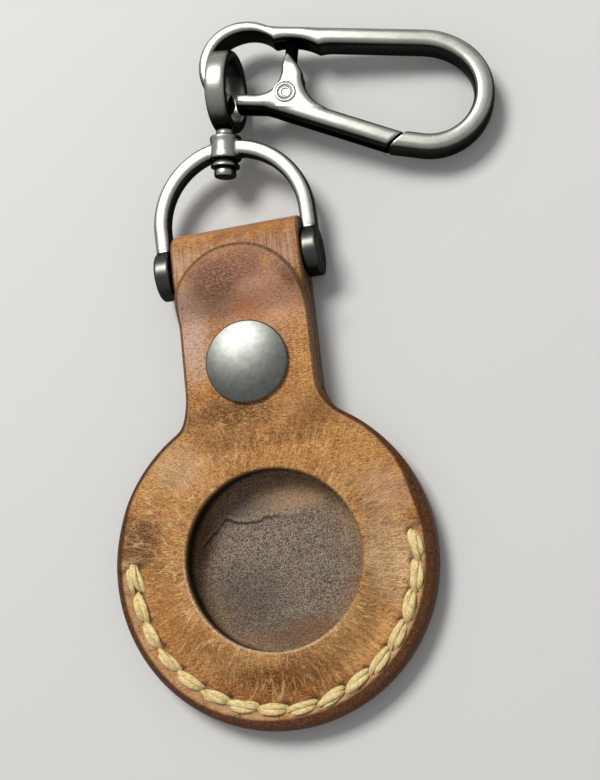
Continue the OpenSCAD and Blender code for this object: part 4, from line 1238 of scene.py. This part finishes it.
# The pin's last colour is a painted dark reflection on its faces that look sideways.
finish_pin = metal_finish("pin_metal", (140, 140, 136), (100, 100, 97), 0.34, sides=(40, 40, 38))
finish_spring = metal_finish("spring_wire", (150, 148, 142), (110, 108, 104), 0.35)


# ---------------------------------------------------------------- the pieces in place
def at_snap(profile, around=96, wrap=False):
    """A profile turned round the snap's axis."""
    points, faces = revolve(profile, around, wrap=wrap)
    return points + (0, SNAP_Y, 0), faces


SOCKET = [
    (1.3, 5.8), (3.9, 5.8), (4.2, 5.7), (4.36, 5.45), (4.36, 4.35), (4.2, 4.15), (2.9, 4.12), (2.5, 4.2), (2.32, 4.5),
    (2.32, 5.36), (1.3, 5.4),
]
STUD = [
    (0, 3.46), (3.9, 3.46), (4.15, 3.6), (4.17, 3.8), (3.9, 3.93), (2.1, 3.95), (1.82, 4.1), (1.78, 4.5),
    (1.98, 4.85), (1.9, 5.1), (1.6, 5.22), (0.5, 5.22), (0.3, 5.12), (0, 5.1),
]
POST = [(0, 0.06), (3.9, 0.06), (4.25, 0.12), (4.38, 0.28), (4.36, 0.5), (1.45, 0.54), (1.45, 3.6), (0, 3.6)]

grid, marks = front_leather()
sheet = skin(grid, wrap_rows=True)
front = piece("front_leather", sheet, finish_front, None, ("front_panel", "front_flap"), 60, marks)
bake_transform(front)
grid, marks = back_leather()
sheet = skin(grid, wrap_rows=True, wrap_cols=False)
piece("back_leather", sheet, finish_back, "root", ("back_panel",), 60, marks)
strands, marks = thread()
piece("waxed_thread", strands, finish_thread, "root", ("stitch_thread",), None, marks)
bar, bar_marks = frame_casting()
lever, lever_marks = gate_casting()
for name, shell, finish, slot, body, node, sharp, marks in (
    ("snap_dome", at_snap(snap_cap_profile(), 128), finish_cap, "snap_metal", "flap", "snap_cap", 50, ()),
    ("snap_ring", at_snap(SOCKET, wrap=True), finish_inner, "snap_inner", "flap", "snap_socket", 50, ()),
    ("snap_knob", at_snap(STUD), finish_inner, "snap_inner", "root", "snap_stud", 50, ()),
    ("snap_foot", at_snap(POST), finish_inner, "snap_inner", "root", "snap_post", 50, ()),
    ("shackle_cast", shackle_casting(), finish_shackle, "hardware_metal", "shackle", "shackle_body", 42, ()),
    ("screw_pin", pin_shape(), finish_pin, "pin_metal", "shackle", "shackle_pin", 40, ()),
    ("swivel_ring", swivel_casting(), finish_hardware, "hardware_metal", "swivel", "swivel_eye", 48, ()),
    ("swivel_cone", collar_shape(), finish_hardware, "hardware_metal", "swivel", "swivel_collar", 40, ()),
    ("carabiner_bar", bar, finish_hardware, "hardware_metal", "carabiner", "carabiner_frame", 55, bar_marks),
    ("carabiner_lever", lever, finish_hardware, "hardware_metal", "gate", "carabiner_gate", 42, lever_marks),
    ("rivet_head", rivet_shape(), finish_hardware, "hardware_metal", "gate", "gate_rivet", 50, ()),
):
    piece(name, shell, finish, body, (node,), sharp, marks)
wire = piece("spring_wire", spring_shape(), finish_spring, None, ("gate_spring",), 50)
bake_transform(wire)


# ---------------------------------------------------------------- floor, light and camera
def pale_floor():
    """A pale floor: its own colour takes the shadow, and what the camera and reflections see is a little lighter."""
    material, b, shader = new_finish("pale_floor")
    seen = b.put("ShaderNodeLightPath").outputs
    share = b.maths("MAXIMUM", seen["Is Glossy Ray"], seen["Is Transmission Ray"])
    share = b.maths("MAXIMUM", seen["Is Camera Ray"], share)
    b.feed(b.blend(share, srgb(176, 176, 174), srgb(214, 214, 212)), shader, "Base Color")
    shader.inputs["Roughness"].default_value = 0.9
    shader.inputs["Specular IOR Level"].default_value = 0.15
    mesh = bpy.data.meshes.new("floor")
    half = 1.5
    mesh.from_pydata([(-half, -half, 0), (half, -half, 0), (half, half, 0), (-half, half, 0)], [], [(0, 1, 2, 3)])
    mesh.materials.append(material)
    obj = linked("floor", mesh)


def lamp(name, place, aim, size, watts, tint):
    """A square soft lamp at a place, facing a point, both in metres."""
    light = bpy.data.lights.new(name, "AREA")
    light.shape, light.size, light.size_y = "RECTANGLE", size[0], size[1]
    light.energy, light.color = watts, tint
    z = np.array(place) - np.array(aim)
    z = z / np.linalg.norm(z)
    x = np.cross([0, 0, 1.0], z)
    x = x / np.linalg.norm(x)
    turned = np.eye(4)
    turned[:3] = np.stack([x, np.cross(z, x), z, place], -1)
    linked(name, light).matrix_world = Matrix(turned.tolist())


pale_floor()
world = bpy.data.worlds.new("soft_room")
world.use_nodes = True
world.node_tree.nodes["Background"].inputs[0].default_value = (1.0, 1.0, 1.0, 1)
world.node_tree.nodes["Background"].inputs[1].default_value = 0.36
bpy.context.scene.world = world
lamp("key", (-0.21, 0.42, 0.63), (0.0, 0.04, 0.0), (0.32, 0.26), 5.2, (1.0, 0.985, 0.96))

SENSOR, FOCAL_PIXELS, HIGH_PIXELS = 36.0, 1150, 780
camera = bpy.data.cameras.new("camera")
camera.sensor_fit, camera.sensor_width = "AUTO", SENSOR
camera.lens = FOCAL_PIXELS / HIGH_PIXELS * SENSOR
camera.clip_start, camera.clip_end = 0.01, 10
eye = linked("camera", camera)
eye.matrix_world = Matrix((
    (0.970081, 0.150457, 0.190540, 0.039289579),
    (-0.109313, 0.971451, -0.210557, -0.011583094),
    (-0.216780, 0.183429, 0.958833, 0.167),
    (0, 0, 0, 1),
))
bpy.context.scene.camera = eye
bpy.context.scene.view_settings.view_transform = "Standard"
